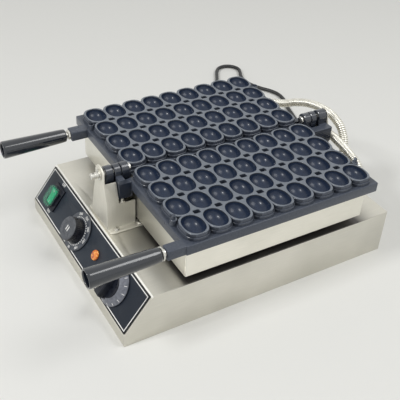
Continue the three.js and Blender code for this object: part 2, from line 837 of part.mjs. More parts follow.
// Hinge brackets
// The side with the straight flange is drawn at +x, facing -y. The rear bracket is turned half round.
function bracketSolid(end) {
  const foot = baseHeight + seatGap;
  const face = -bracketFace(end);
  const back = face + flangeDepth;
  const headRadius = end.webHeadRadius;
  const inner = bracketRightX - sheet;
  const head = [];
  for (let i = 0; i <= webHeadSides; i++) {
    const turn = webHeadStart + ((Math.PI - 2 * webHeadStart) * i) / webHeadSides;
    head.push([headRadius * Math.cos(turn), hingeHeight + headRadius * Math.sin(turn)]);
  }
  const ledgeShare = (stopLedge - foot) / (hingeHeight - foot);
  const leftLedge = -bracketLeftX + (bracketLeftX - headRadius) * ledgeShare;
  const webOutline = [
    [-bracketLeftX, foot],
    [bracketRightX, foot],
    [bracketRightX, creaseHeight],
    [webNeckX, webNeckHeight],
    ...head,
  ];
  const flangeOutline = [
    [inner, foot],
    [bracketRightX, foot],
    [bracketRightX, stopLedge],
    [inner, stopLedge],
  ];
  const leanOutline = [
    [inner, foot],
    [bracketRightX, foot],
    [bracketRightX, creaseHeight],
    [webNeckX, webNeckHeight],
    [webNeckX - sheet, webNeckHeight],
    [inner, creaseHeight],
  ];
  const leftOutline = [
    [-bracketLeftX, foot],
    [-bracketLeftX + sheet, foot],
    [leftLedge + sheet, stopLedge],
    [leftLedge, stopLedge],
  ];
  const web = prism(webOutline, "y", face, face + sheet);
  const flange = prism(flangeOutline, "y", face, back);
  const lean = prism(leanOutline, "y", face, -middleKnuckle.end - leanClearance);
  const leftFlange = prism(leftOutline, "y", face, back);
  const footTop = foot + sheet;
  const footSpan = [face, face + footDepth];
  const corner = footWidth / 4;
  const rightSpan = [inner - corner, bracketRightX + footWidth - sheet];
  const leftSpan = [-bracketLeftX - footWidth + sheet, -bracketLeftX + sheet + corner];
  const rightFoot = prism(cutRectangle(rightSpan, footSpan, corner), "z", foot, footTop);
  const leftFoot = prism(cutRectangle(leftSpan, footSpan, corner), "z", foot, footTop);
  const boltAt = [0, face, hingeHeight];
  const holes = [rod(boltRadius + seatGap, boltSides, axisY, boltAt, -cutOverrun, cutOverrun + sheet)];
  for (const place of footScrewPlaces) {
    if (place.end !== end) continue;
    const at = [-end.side * place.x, -end.side * (place.y - mouldCentreY), footTop];
    holes.push(rod(screwShankRadius + seatGap, screwSides, axisZ, at, -sheet - cutOverrun, cutOverrun));
  }
  return cut(joined([web, flange, lean, leftFlange, rightFoot, leftFoot]), holes);
}

function bracket(name, end) {
  const mesh = piece(name, materials.stainless, bracketSolid(end));
  mesh.position.y = mouldCentreY;
  if (end === rear) mesh.rotation.z = Math.PI;
  return mesh;
}

function footScrew(name, { x, y }) {
  const seat = baseHeight + 2 * seatGap + sheet;
  const profile = [
    [0, -screwShankLength],
    [screwShankRadius, -screwShankLength],
    [screwShankRadius, 0],
    [screwHeadRadius, 0],
    [screwHeadRadius - screwHeadHeight / 2, screwHeadHeight],
    [0, screwHeadHeight],
  ];
  return piece(name, materials.plated, turned(profile, screwSides, axisZ, [x, y, seat]));
}

// Hinge bolts run from a head inside the fork, out through the bracket's web. A long tail is drilled.
function hingeBolt(name, end) {
  const at = [0, mouldCentreY, hingeHeight];
  const headEnd = innerKnuckle.start - seatGap;
  const tailEnd = bracketFace(end) + end.boltTail;
  const profile = [
    [0, headEnd - boltHeadLength],
    [boltHeadRadius, headEnd - boltHeadLength],
    [boltHeadRadius, headEnd],
    [boltRadius, headEnd],
    [boltRadius, tailEnd],
    [0, tailEnd],
  ];
  const bolt = turned(profile, boltSides, outwardOf(end), at);
  if (end.boltTail < 2 * boltEyeInset) return piece(name, materials.plated, bolt);
  const eyeAt = [0, alongY(end, tailEnd - boltEyeInset), hingeHeight];
  const eyeReach = boltRadius + cutOverrun;
  const eye = rod(boltEyeRadius, screwSides, axisZ, eyeAt, -eyeReach, eyeReach);
  return piece(name, materials.plated, bolt.subtract(eye));
}

function boltClip(name, end) {
  const at = [0, mouldCentreY, hingeHeight];
  const from = bracketFace(end) + seatGap;
  const inner = boltRadius + seatGap;
  const profile = [
    [inner, from],
    [clipRadius, from],
    [clipRadius, from + clipThickness],
    [inner, from + clipThickness],
    [inner, from],
  ];
  return piece(name, materials.plated, turned(profile, boltSides, outwardOf(end), at));
}

// Cast moulds
// Both halves are drawn at +x. The far half is the mirror image across the hinge line.
function cavityPlaces() {
  const places = [];
  for (let row = 0; row < cavityRows; row++) {
    for (let column = 0; column < cavityColumns; column++) {
      const y = mouldCentreY - lastColumnY + column * cavityPitchY;
      places.push([firstRowX + row * cavityPitchX, y]);
    }
  }
  return places;
}

function bowlCutter([x, y]) {
  const ring = (scale, z) =>
    oval(x, y, openingHalfX * scale, openingHalfY * scale, openingPower, openingSides).map(
      ([u, v]) => new THREE.Vector3(u, v, z),
    );
  const steps = [0, 1, 2].map((i) => (i * Math.PI) / 6);
  const rings = steps.map((turn) => ring(Math.cos(turn), rimTop - bowlDepth * Math.sin(turn)));
  rings.unshift(ring(1, rimTop + cutOverrun));
  return solidOf(loft(rings.reverse()));
}

function rimBlock() {
  const grow = rimWall;
  const sunk = plateTop - joinOverlap;
  const tiers = [];
  for (const place of cavityPlaces()) {
    const halfX = openingHalfX + grow;
    const halfY = openingHalfY + grow;
    tiers.push(prism(oval(...place, halfX, halfY, rimPower, rimSides), "z", sunk, rimTop));
  }
  const middle = [mouldCentreY - lastColumnY, mouldCentreY + lastColumnY];
  tiers.push(block([firstRowX, lastRowX], middle, [sunk, rimTop]));
  return joined(tiers);
}

// A small pit is left between every four rims.
function pitCutters() {
  const cutters = [];
  for (const [x, y] of cavityPlaces()) {
    const px = x + cavityPitchX / 2;
    const py = y + cavityPitchY / 2;
    if (px > lastRowX || py > mouldCentreY + lastColumnY) continue;
    const x01 = [px - pocketX / 2, px + pocketX / 2];
    const y01 = [py - pocketY / 2, py + pocketY / 2];
    cutters.push(block(x01, y01, [plateTop, rimTop + cutOverrun]));
  }
  return cutters;
}

// One knuckle with the neck that drops from it to the lug below.
function knuckle(end, { start, end: stop }, neckTo) {
  const at = [0, mouldCentreY, hingeHeight];
  const eye = rod(knuckleRadius, bushSides, outwardOf(end), at, start, stop);
  const neck = block(
    [-lugInnerX, neckTo],
    spanY(end, start, stop),
    [hingeHeight - knuckleNeckDrop, hingeHeight - knuckleNeckRise],
  );
  const trim = block(
    [lugInnerX, neckTo + cutOverrun],
    spanY(end, start - cutOverrun, stop + cutOverrun),
    [lugTop, hingeHeight],
  );
  return eye.add(neck.subtract(trim));
}

// The middle knuckle's lug: one block beside the axis, tied to the plate's edge.
function singleLug(end) {
  const across = spanY(end, middleKnuckle.start, middleKnuckle.end);
  const tie = spanY(end, plateHalfY - joinOverlap, middleKnuckle.end);
  return joined([
    knuckle(end, middleKnuckle, lugOuterX),
    block([-lugInnerX, lugOuterX], across, [lugBottom, lugTop]),
    block([knuckleNotch + seatGap, lugOuterX], tie, [lugBottom, lugTop]),
  ]);
}

// The fork's two knuckles straddle the other half's middle one and share a cross block.
function forkLug(end) {
  const across = spanY(end, plateHalfY - joinOverlap, end.outerKnuckle.end);
  return joined([
    knuckle(end, end.outerKnuckle, forkOuterX),
    knuckle(end, innerKnuckle, forkOuterX),
    block([forkInnerX, forkOuterX], across, [lugBottom, lugTop]),
  ]);
}

function stopPlace(end, isFork) {
  const middle = isFork ? end.outerKnuckle : middleKnuckle;
  return [isFork ? forkStopX : stopX, alongY(end, (middle.start + middle.end) / 2), lugBottom];
}

function handleArm(x, halfWidth) {
  const y = spanY(front, plateHalfY - joinOverlap, plateHalfY + armLength);
  const arm = prism(
    cutRectangle([x - halfWidth, x + halfWidth], [plateBottom, plateTop], armBevel),
    "y",
    ...y,
  );
  return arm;
}

function locatorPlaces() {
  const x = firstRowX + (cavityRows - 1.5) * cavityPitchX;
  return [front, rear].map((end) => [x, alongY(end, plateHalfY - locatorInset), 0]);
}

function mould(name, { arm, armHalfWidth, singleEnd, forkEnd, hasPins }) {
  const spanOfPlate = [mouldCentreY - plateHalfY, mouldCentreY + plateHalfY];
  const plate = prism(
    cutRectangle([halfGap, plateOuterX], spanOfPlate, plateCorner),
    "z",
    plateBottom,
    plateTop,
  );
  const notchDepth = plateHalfY - innerKnuckle.start + 2 * seatGap + boltHeadLength;
  const notches = [front, rear].map((end) => {
    const span = spanY(end, plateHalfY - notchDepth, plateHalfY + cutOverrun);
    return block([halfGap - cutOverrun, knuckleNotch], span, [plateBottom - cutOverrun, hingeHeight]);
  });
  let body = plate.add(rimBlock());
  body = cut(body, [...cavityPlaces().map(bowlCutter), ...pitCutters(), ...notches]);
  body = joined([body, singleLug(singleEnd), forkLug(forkEnd), handleArm(arm, armHalfWidth)]);
  for (const [x, y] of locatorPlaces()) {
    const at = [x, y, plateTop];
    const bossHeight = rimRise - seatGap;
    const boss = rod(locatorBossRadius, locatorSides, axisZ, at, -joinOverlap, bossHeight);
    body = body.add(boss);
    const pinTop = rimRise + locatorPinRise;
    if (hasPins) body = body.add(rod(locatorPinRadius, locatorSides, axisZ, at, 0, pinTop));
    else {
      const socketEnd = rimRise - locatorPinRise - cutOverrun;
      const socket = rod(locatorSocketRadius, locatorSides, axisZ, at, socketEnd, rimRise + cutOverrun);
      body = body.subtract(socket);
    }
  }
  const bolt = [front, rear].map((end) => {
    const at = [0, mouldCentreY, hingeHeight];
    const reach = [innerKnuckle.start - cutOverrun, end.outerKnuckle.end + cutOverrun];
    return rod(boltRadius + seatGap, boltSides, outwardOf(end), at, ...reach);
  });
  const stops = [stopPlace(singleEnd, false), stopPlace(forkEnd, true)].map((at) =>
    rod(stopRadius + seatGap, screwSides, axisZ, at, -cutOverrun, stopDepth + seatGap),
  );
  const studAt = [arm, alongY(front, plateHalfY + armLength), handleHeight];
  const studHole = rod(studRadius + seatGap, boltSides, axisY, studAt, -cutOverrun, studInArm + seatGap);
  return piece(name, materials.castCoating, cut(body, [...bolt, ...stops, studHole]));
}

// A stop screw hangs from its lug, and its head lands on the bracket's ledge.
function stopScrew(name, [x, y, z]) {
  const headBottom = stopLedge + seatGap - lugBottom;
  const profile = [
    [0, headBottom],
    [stopHeadRadius, headBottom],
    [stopHeadRadius, headBottom + stopHeadHeight],
    [stopRadius, headBottom + stopHeadHeight],
    [stopRadius, stopDepth],
    [0, stopDepth],
  ];
  return piece(name, materials.plated, turned(profile, screwSides, axisZ, [x, y, z]));
}

// Heater covers
function cornerRing(halfX, halfY, corner, x, y, z) {
  const points = [];
  const corners = [[1, 1], [-1, 1], [-1, -1], [1, -1]];
  corners.forEach(([sx, sy], quarter) => {
    for (let i = 0; i < 3; i++) {
      const turn = ((quarter + i / 2) * Math.PI) / 2;
      const px = x + sx * (halfX - corner) + corner * Math.cos(turn);
      const py = y + sy * (halfY - corner) + corner * Math.sin(turn);
      points.push(new THREE.Vector3(px, py, z));
    }
  });
  return points;
}

// A drawn sheet box, open at the top, with rounded corners and a bevelled bottom edge.
function cover(name, glandX, glandHeight) {
  const x = (coverInnerX + coverOuterX) / 2;
  const halfX = (coverOuterX - coverInnerX) / 2;
  const ring = (inset, z) =>
    cornerRing(halfX - inset, coverHalfY - inset, coverCorner - inset / 2, x, mouldCentreY, z);
  const outer = solidOf(
    loft([ring(coverBevel, coverBottom), ring(0, coverBottom + coverBevel), ring(0, coverTop)]),
  );
  const floor = coverBottom + sheet;
  const mouth = coverTop + cutOverrun;
  const inner = solidOf(
    loft([ring(sheet + coverBevel, floor), ring(sheet, floor + coverBevel), ring(sheet, mouth)]),
  );
  const glandAt = [glandX, alongY(rear, coverHalfY), glandHeight];
  const holeRadius = glandTailRadius + seatGap;
  const glandHole = rod(holeRadius, glandSides, axisY, glandAt, -sheet - cutOverrun, cutOverrun);
  return piece(name, materials.stainless, cut(outer, [inner, glandHole]));
}

// A sheathed element snakes under the plate in straight legs.
function heatingElement(name) {
  const x0 = coverInnerX + elementInsetX;
  const x1 = coverOuterX - elementInsetX;
  const pitch = (x1 - x0) / (elementLegs - 1);
  const reach = coverHalfY - elementInsetY;
  const z = elementHeight;
  const path = new THREE.CurvePath();
  const bend = pitch / 2;
  let dir = -1;
  for (let leg = 0; leg < elementLegs; leg++) {
    const x = x0 + leg * pitch;
    const from = new THREE.Vector3(x, mouldCentreY - dir * (reach - bend), z);
    const to = new THREE.Vector3(x, mouldCentreY + dir * (reach - bend), z);
    path.add(new THREE.LineCurve3(from, to));
    if (leg + 1 < elementLegs) {
      const far = mouldCentreY + dir * (reach + bend / 2);
      const first = new THREE.Vector3(x, far, z);
      const second = new THREE.Vector3(x + pitch, far, z);
      const end = new THREE.Vector3(x + pitch, to.y, z);
      path.add(new THREE.CubicBezierCurve3(to, first, second, end));
    }
    dir = -dir;
  }
  const round = oval(0, 0, elementRadius, elementRadius, 2, elementSides);
  const section = new THREE.Shape(round.map(([u, v]) => new THREE.Vector2(u, v)));
  const geometry = new THREE.ExtrudeGeometry(section, { steps: elementSteps, extrudePath: path });
  return piece(name, materials.sheath, solidOf(geometry));
}

function blanket(name) {
  const inset = sheet + coverBevel + blanketClearance;
  const x = [coverInnerX + inset, coverOuterX - inset];
  const halfY = coverHalfY - inset;
  const z0 = coverBottom + sheet + seatGap;
  const y = [mouldCentreY - halfY, mouldCentreY + halfY];
  const room = elementHeight - elementRadius - z0;
  return piece(name, materials.mineralWool, block(x, y, [z0, z0 + room * blanketShare]));
}

// Handles
// Distances run forward from the middle of the moulds.
function handleStud(name, x) {
  const stud = rod(
    studRadius,
    boltSides,
    axisY.clone().negate(),
    [x, mouldCentreY, handleHeight],
    armFace - studInArm,
    gripRoot + studInGrip,
  );
  return piece(name, materials.plated, stud);
}

function handleCollar(name, x, radius, from, to) {
  const inner = studRadius + seatGap;
  const profile = [[inner, from], [radius, from], [radius, to], [inner, to], [inner, from]];
  const at = [x, mouldCentreY, handleHeight];
  return piece(name, materials.plated, turned(profile, boltSides, axisY.clone().negate(), at));
}

function handleGrip(name, x) {
  const tip = gripRoot + gripLength;
  const bore = studRadius + seatGap;
  const boreEnd = gripRoot + studInGrip + seatGap;
  const profile = [
    [bore, gripRoot],
    [gripRootRadius - gripRound, gripRoot],
    [gripRootRadius, gripRoot + gripRound],
    [gripEndRadius, tip - gripRound],
    [gripEndRadius - gripRound / 2, tip],
    [gripHollowRadius, tip],
    [gripHollowRadius - gripRound, tip - gripHollowDepth],
    [0, tip - gripHollowDepth],
    [0, boreEnd],
    [bore, boreEnd],
    [bore, gripRoot],
  ];
  const at = [x, mouldCentreY, handleHeight];
  return piece(name, materials.phenolic, turned(profile, gripSides, axisY.clone().negate(), at));
}

// Conduits
function conduitGland(name, at, outward) {
  const hexFrom = seatGap;
  const hexTo = hexFrom + glandHexLength;
  const capTo = hexTo + glandCapLength;
  const profile = [
    [glandBore, -glandTailLength],
    [glandTailRadius, -glandTailLength],
    [glandTailRadius, hexFrom],
    [glandHexRadius, hexFrom],
    [glandHexRadius, hexTo],
    [glandCapRadius, hexTo],
    [glandCapRadius - gripRound, capTo],
    [glandBore, capTo],
    [glandBore, -glandTailLength],
  ];
  return piece(name, materials.plated, turned(profile, glandSides, outward, at.toArray()));
}

const glandReach = seatGap + glandHexLength + glandCapLength + seatGap;

// A ribbed metal hose on a smooth route: crest and valley rings outside, a plain bore inside.
function ribbedHose(name, route, ribs) {
  const curve = new THREE.CatmullRomCurve3(route, false, "centripetal");
  const steps = ribs * 2;
  const frames = curve.computeFrenetFrames(steps, false);
  const points = curve.getSpacedPoints(steps);
  const positions = [];
  const index = [];
  const ring = (k, radius) => {
    const first = positions.length / 3;
    for (let i = 0; i < conduitSides; i++) {
      const turn = (2 * Math.PI * i) / conduitSides;
      const p = points[k].clone();
      p.addScaledVector(frames.normals[k], radius * Math.cos(turn));
      p.addScaledVector(frames.binormals[k], radius * Math.sin(turn));
      positions.push(p.x, p.y, p.z);
    }
    return first;
  };
  const band = (a, b, facing) => {
    for (let i = 0; i < conduitSides; i++) {
      const j = (i + 1) % conduitSides;
      const quad = [a + i, a + j, b + j, a + i, b + j, b + i];
      index.push(...(facing > 0 ? quad : quad.reverse()));
    }
  };
  const outside = points.map((_, k) => ring(k, k % 2 ? conduitRadius : conduitValley));
  const inside = [];
  for (let k = 0; k < steps; k += 2 * ribsPerBoreRing) inside.push(ring(k, conduitBore));
  inside.push(ring(steps, conduitBore));
  for (let k = 0; k + 1 < outside.length; k++) band(outside[k], outside[k + 1], 1);
  for (let k = 0; k + 1 < inside.length; k++) band(inside[k], inside[k + 1], -1);
  band(outside[0], inside[0], -1);
  band(outside.at(-1), inside.at(-1), 1);
  const geometry = new THREE.BufferGeometry();
  geometry.setAttribute("position", new THREE.Float32BufferAttribute(positions, 3));
  geometry.setIndex(index);
  return piece(name, materials.conduit, solidOf(geometry));
}

// A hose leaves each gland straight for half its diameter and arches out to the rear in between.
function hoseRoute(startGland, endGland, shares, depth, rise) {
  const lead = glandReach + conduitRadius;
  const first = startGland.clone().addScaledVector(axisY, lead);
  const last = endGland.clone().addScaledVector(axisZ, lead);
  const arch = shares.map(([way, back, up]) =>
    first.clone().lerp(last, way).addScaledVector(axisY, depth * back).addScaledVector(axisZ, rise * up),
  );
  return [
    startGland.clone().addScaledVector(axisY, glandReach),
    first,
    ...arch,
    last,
    endGland.clone().addScaledVector(axisZ, glandReach),
  ];
}

// The far half's conduit arches high behind the rear hinge.
function farConduit() {
  const route = hoseRoute(farCoverGland, farBaseGland, farHoseShares, farArchDepth, farArchRise);
  return ribbedHose("far_conduit", route, farConduitRibs);
}

// The near half's conduit drops from behind the hinge to the base.
function nearConduit() {
  const route = hoseRoute(nearCoverGland, nearBaseGland, nearHoseShares, nearArchDepth, nearArchRise);
  return ribbedHose("near_conduit", route, nearConduitRibs);
}

// Mains cord
const cordRest = cordRadius + floorRest;
const reliefReach = seatGap + reliefNutLength + reliefLength + seatGap;
const cordStart = new THREE.Vector3(cordExitX, baseHalfDepth + reliefReach, cordExitHeight);

function cordRelief() {
  const nutTo = seatGap + reliefNutLength;
  const profile = [
    [0, -sheet - cutOverrun],
    [reliefTipRadius, -sheet - cutOverrun],
    [reliefTipRadius, seatGap],
    [reliefNutRadius, seatGap],
    [reliefNutRadius, nutTo],
    [reliefRootRadius, nutTo],
    [reliefTipRadius, nutTo + reliefLength],
    [0, nutTo + reliefLength],
  ];
  const at = [cordExitX, baseHalfDepth, cordExitHeight];
  return piece("cord_relief", materials.rubber, turned(profile, glandSides, axisY, at));
}

// Piled loops: in along the floor, up one layer in half a turn, and out again.
function coilPoints() {
  const pitch = 2 * cordRadius + coilTurnGap;
  const rise = 2 * cordRadius + coilTurnGap;
  const turns = 2 * coilTurnsPerLayer + coilClimbTurns;
  const steps = Math.round(turns * coilStepsPerTurn);
  const outer = coilRadius + (pitch * coilTurnsPerLayer) / 2;
  const points = [];
  for (let k = 0; k <= steps; k++) {
    const turn = (k / steps) * turns;
    const inward = Math.min(turn, coilTurnsPerLayer);
    const climbEnd = coilTurnsPerLayer + coilClimbTurns;
    const outward = Math.max(turn - climbEnd, 0);
    const climb = THREE.MathUtils.smoothstep(turn, coilTurnsPerLayer, climbEnd);
    const radius = outer - pitch * inward + pitch * outward;
    const angle = coilStartAngle + 2 * Math.PI * turn;
    const x = coilX + radius * Math.cos(angle);
    const y = coilY + radius * Math.sin(angle);
    points.push(new THREE.Vector3(x, y, cordRest + rise * climb));
  }
  return points;
}

function straightEnds(points) {
  const lead = points[0].clone().sub(points[1]).setLength(coilLead).add(points[0]);
  const last = points.length - 1;
  const tail = points[last].clone().sub(points[last - 1]).setLength(coilTail).add(points[last]);
  return [lead, ...points, tail];
}

function tubeThrough(points, radius, sides) {
  const rings = points.map((p, k) => {
    const before = points[Math.max(k - 1, 0)];
    const after = points[Math.min(k + 1, points.length - 1)];
    const ahead = after.clone().sub(before).normalize();
    const across = new THREE.Vector3().crossVectors(axisZ, ahead).normalize();
    const up = new THREE.Vector3().crossVectors(ahead, across);
    const ring = [];
    for (let i = 0; i < sides; i++) {
      const turn = (2 * Math.PI * (i + 0.5)) / sides;
      const spot = p.clone().addScaledVector(across, radius * Math.cos(turn));
      ring.push(spot.addScaledVector(up, radius * Math.sin(turn)));
    }
    return ring;
  });
  return loft(rings);
}

function leastSelfGap(points, radius, stepsPerTurn) {
  let least = Infinity;
  for (let i = 0; i < points.length; i++) {
    for (let j = i + Math.floor(stepsPerTurn / 2); j < points.length; j++) {
      least = Math.min(least, points[i].distanceTo(points[j]) - 2 * radius);
    }
  }
  return least;
}

const coilRoute = straightEnds(coilPoints());
console.log("least gap in the coil:", leastSelfGap(coilRoute, cordRadius, coilStepsPerTurn).toFixed(2), "mm");

function cordCoil() {
  return piece("cord_coil", materials.rubber, solidOf(tubeThrough(coilRoute, cordRadius, coilSides)));
}

// The run leaves the relief, sinks to the table, bends round in a loop and comes back to the coil.
// Its places are measured from the base's rear corner.
function cordRunPoints() {
  const back = coilRoute[0].clone().sub(coilRoute[1]).normalize();
  const end = coilRoute[0].clone().addScaledVector(back, seatGap);
  const approach = end.clone().addScaledVector(back, 2 * coilLead);
  const route = [
    [83, 43, 27],
    [79, 56, 22],
    [69, 69, 13],
    [54, 80, 6.5],
    [35, 88, cordRest],
    [7, 96, cordRest],
    [-21, 103, cordRest],
    [-45, 110, cordRest],
    [-65, 116, cordRest],
    [-87, 123, cordRest],
    [-104, 130, cordRest],
    [-120, 135, cordRest],
    [-137, 136, cordRest],
    [-153, 130.5, cordRest],
    [-169, 120.5, cordRest],
    [-189, 111, cordRest],
    [-211, 107.5, cordRest],
    [-230, 112, cordRest],
    [-248.5, 121, cordRest],
    [-259, 124.5, cordRest],
    [-271, 121.5, cordRest],
    [-279.5, 113, cordRest],
    [-282.5, 101, cordRest],
    [-279.5, 89.5, cordRest],
    [-272.5, 81.5, cordRest],
    [-257.5, 71.5, cordRest],
    [-238, 60, cordRest],
    [-216, 43.5, cordRest],
    [-196, 18, cordRest],
    [-182, -12, cordRest],
  ];
  const corner = new THREE.Vector3(-baseHalfWidth, baseHalfDepth, 0);
  const middle = route.map(([x, y, z]) => new THREE.Vector3(x, y, z).add(corner));
  return [cordStart, ...middle, approach, end];
}

function cordRun() {
  const curve = new THREE.CatmullRomCurve3(cordRunPoints(), false, "centripetal");
  const geometry = tubeThrough(curve.getSpacedPoints(cordSteps), cordRadius, cordSides);
  return piece("cord_run", materials.rubber, solidOf(geometry));
}

// The plug lies flat at the coil's free end. Its sections grow from the neck to a rounded block.
function mainsPlug() {
  const last = coilRoute.at(-1);
  const heading = last.clone().sub(coilRoute.at(-2)).setZ(0).normalize();
  const across = new THREE.Vector3(-heading.y, heading.x, 0);
  const section = (distance, halfWidth, halfHeight) =>
    oval(0, 0, halfWidth, halfHeight, plugPower, plugSides).map(([u, v]) =>
      last.clone().addScaledVector(heading, distance).addScaledVector(across, u).addScaledVector(axisZ, v),
    );
  const bodyFrom = seatGap + plugNeckLength + plugShoulder;
  const bodyTo = bodyFrom + plugBodyLength;
  let plug = solidOf(
    loft([
      section(seatGap, plugNeckRadius, plugNeckRadius),
      section(seatGap + plugNeckLength, plugNeckRadius, plugNeckRadius),
      section(bodyFrom, plugHalfWidth, plugHalfHeight),
      section(bodyTo, plugHalfWidth, plugHalfHeight),
    ]),
  );
  for (const side of [-1, 1]) {
    const at = last.clone().addScaledVector(across, (side * plugPinSpacing) / 2).toArray();
    const pinTo = bodyTo + plugPinLength;
    plug = plug.add(rod(plugPinRadius, screwSides, heading, at, bodyTo - joinOverlap, pinTo));
  }
  return piece("mains_plug", materials.rubber, plug);
}

// Assembly
const iron = new THREE.Group();
iron.name = "waffle_iron";

iron.add(baseShell(), bottomPlate(), controlFascia(), switchHousing(), switchRocker(), switchBoot());
iron.add(thermostatKnob(), controlShaft("thermostat_shaft", thermostatX, thermostatV));
iron.add(controlBody("thermostat_body", thermostatX, thermostatV, thermostatBodySize, thermostatBodyDepth));
iron.add(timerKnob(), controlShaft("timer_shaft", timerX, timerV));
iron.add(controlBody("timer_body", timerX, timerV, timerBodySize, timerBodyDepth));
iron.add(pilotLens(), pilotBody(), terminalBlock());
iron.add(bracket("front_bracket", front), bracket("rear_bracket", rear));
footScrewPlaces.forEach((place, i) => iron.add(footScrew("bracket_screw_" + (i + 1), place)));
iron.add(hingeBolt("front_hinge_bolt", front), hingeBolt("rear_hinge_bolt", rear));
iron.add(boltClip("front_bolt_clip", front), boltClip("rear_bolt_clip", rear));

const nearHalf = new THREE.Group();
const nearMould = {
  arm: nearArmX,
  armHalfWidth: nearArmHalfWidth,
  singleEnd: front,
  forkEnd: rear,
  hasPins: true,
};
nearHalf.add(mould("near_mould", nearMould));
nearHalf.add(cover("near_cover", nearCoverGland.x, nearCoverGland.z));
nearHalf.add(heatingElement("near_element"), blanket("near_blanket"));
nearHalf.add(stopScrew("near_front_stop", stopPlace(front, false)));
nearHalf.add(stopScrew("near_rear_stop", stopPlace(rear, true)));
nearHalf.add(handleStud("near_stud", nearArmX), handleGrip("near_grip", nearArmX));
const ferruleTo = gripRoot - seatGap;
nearHalf.add(handleCollar("near_ferrule", nearArmX, ferruleRadius, ferruleTo - ferruleLength, ferruleTo));

const farHalf = new THREE.Group();
farHalf.scale.x = -1;
const farMould = {
  arm: farArmX,
  armHalfWidth: farArmHalfWidth,
  singleEnd: rear,
  forkEnd: front,
  hasPins: false,
};
farHalf.add(mould("far_mould", farMould));
farHalf.add(cover("far_cover", -farCoverGland.x, farCoverGland.z));
farHalf.add(heatingElement("far_element"), blanket("far_blanket"));
farHalf.add(stopScrew("far_front_stop", stopPlace(front, true)));
farHalf.add(stopScrew("far_rear_stop", stopPlace(rear, false)));
farHalf.add(handleStud("far_stud", farArmX), handleGrip("far_grip", farArmX));
const lockNutFrom = armFace + seatGap;
farHalf.add(handleCollar("far_lock_nut", farArmX, lockNutRadius, lockNutFrom, lockNutFrom + lockNutLength));

iron.add(nearHalf, farHalf);
iron.add(conduitGland("far_base_gland", farBaseGland, axisZ));
iron.add(conduitGland("near_base_gland", nearBaseGland, axisZ));
iron.add(conduitGland("far_cover_gland", farCoverGland, axisY));
iron.add(conduitGland("near_cover_gland", nearCoverGland, axisY));
iron.add(farConduit(), nearConduit());
iron.add(cordRelief(), cordRun(), cordCoil(), mainsPlug());

export default iron;
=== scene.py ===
import math

import bmesh
import bpy
from mathutils import Matrix, Quaternion, Vector


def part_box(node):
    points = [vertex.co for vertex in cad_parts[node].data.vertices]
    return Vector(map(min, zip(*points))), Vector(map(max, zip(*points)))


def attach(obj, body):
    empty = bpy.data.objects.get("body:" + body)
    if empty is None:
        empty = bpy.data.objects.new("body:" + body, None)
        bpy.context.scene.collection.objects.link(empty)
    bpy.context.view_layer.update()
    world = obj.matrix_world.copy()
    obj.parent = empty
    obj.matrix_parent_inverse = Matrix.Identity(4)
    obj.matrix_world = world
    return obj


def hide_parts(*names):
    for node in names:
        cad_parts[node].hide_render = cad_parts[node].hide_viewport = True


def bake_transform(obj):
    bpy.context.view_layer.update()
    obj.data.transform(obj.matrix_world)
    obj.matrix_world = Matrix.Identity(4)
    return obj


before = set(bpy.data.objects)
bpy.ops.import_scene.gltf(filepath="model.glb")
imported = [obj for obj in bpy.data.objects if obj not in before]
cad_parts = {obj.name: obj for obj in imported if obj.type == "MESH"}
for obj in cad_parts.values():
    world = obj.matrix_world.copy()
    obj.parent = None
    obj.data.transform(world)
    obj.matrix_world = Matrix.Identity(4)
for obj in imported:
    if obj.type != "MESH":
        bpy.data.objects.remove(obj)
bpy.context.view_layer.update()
mm = 0.001

# Camera
# A phone's view from the near front corner, held a little crooked.
def placed(name, data):
    """A new object in the scene."""
    made = bpy.data.objects.new(name, data)
    bpy.context.scene.collection.objects.link(made)
    return made


camera = placed("camera", bpy.data.cameras.new("camera"))
bpy.context.scene.camera = camera
camera.data.sensor_width = 36
camera.data.lens = 64.3
camera.location = (0.6849, -0.4420, 0.6505)
camera_look = Vector((-0.68088, 0.43011, -0.59279))
camera_roll = math.radians(3.49)
camera.rotation_mode = "QUATERNION"
camera.rotation_quaternion = camera_look.to_track_quat("-Z", "Y") @ Quaternion((0, 0, 1), camera_roll)


# Mains cord
# Black PVC lead that sinks to the counter, bends back behind the iron and ends in a wound coil.
# Its moulded relief is fixed in the rear wall of the base and its plug lies at the coil's end.
class Field:
    """A socket of a material's node tree that arithmetic builds on."""

    def __init__(self, finish, socket):
        self.finish = finish
        self.socket = socket

    def math(self, operation, other, swapped=False):
        pair = (other, self) if swapped else (self, other)
        return self.finish.node("ShaderNodeMath", {"operation": operation}, {0: pair[0], 1: pair[1]})

    def __add__(self, other):
        return self.math("ADD", other)

    def __sub__(self, other):
        return self.math("SUBTRACT", other)

    def __rsub__(self, other):
        return self.math("SUBTRACT", other, swapped=True)

    def __mul__(self, other):
        return self.math("MULTIPLY", other)

    def above(self, level):
        return self.math("GREATER_THAN", level)

    def below(self, level):
        return self.math("LESS_THAN", level)

    def size(self):
        return self.math("ABSOLUTE", 0)

    def power(self, exponent):
        return self.math("POWER", exponent)


def add_node(tree, kind, settings=None, inputs=None, output=0):
    """A new node whose inputs are set, or linked where a socket is given. Returns one of its outputs."""
    made = tree.nodes.new(kind)
    for key, value in (settings or {}).items():
        setattr(made, key, value)
    for key, value in (inputs or {}).items():
        if isinstance(value, bpy.types.NodeSocket):
            tree.links.new(value, made.inputs[key])
        else:
            made.inputs[key].default_value = value
    return made.outputs[output]


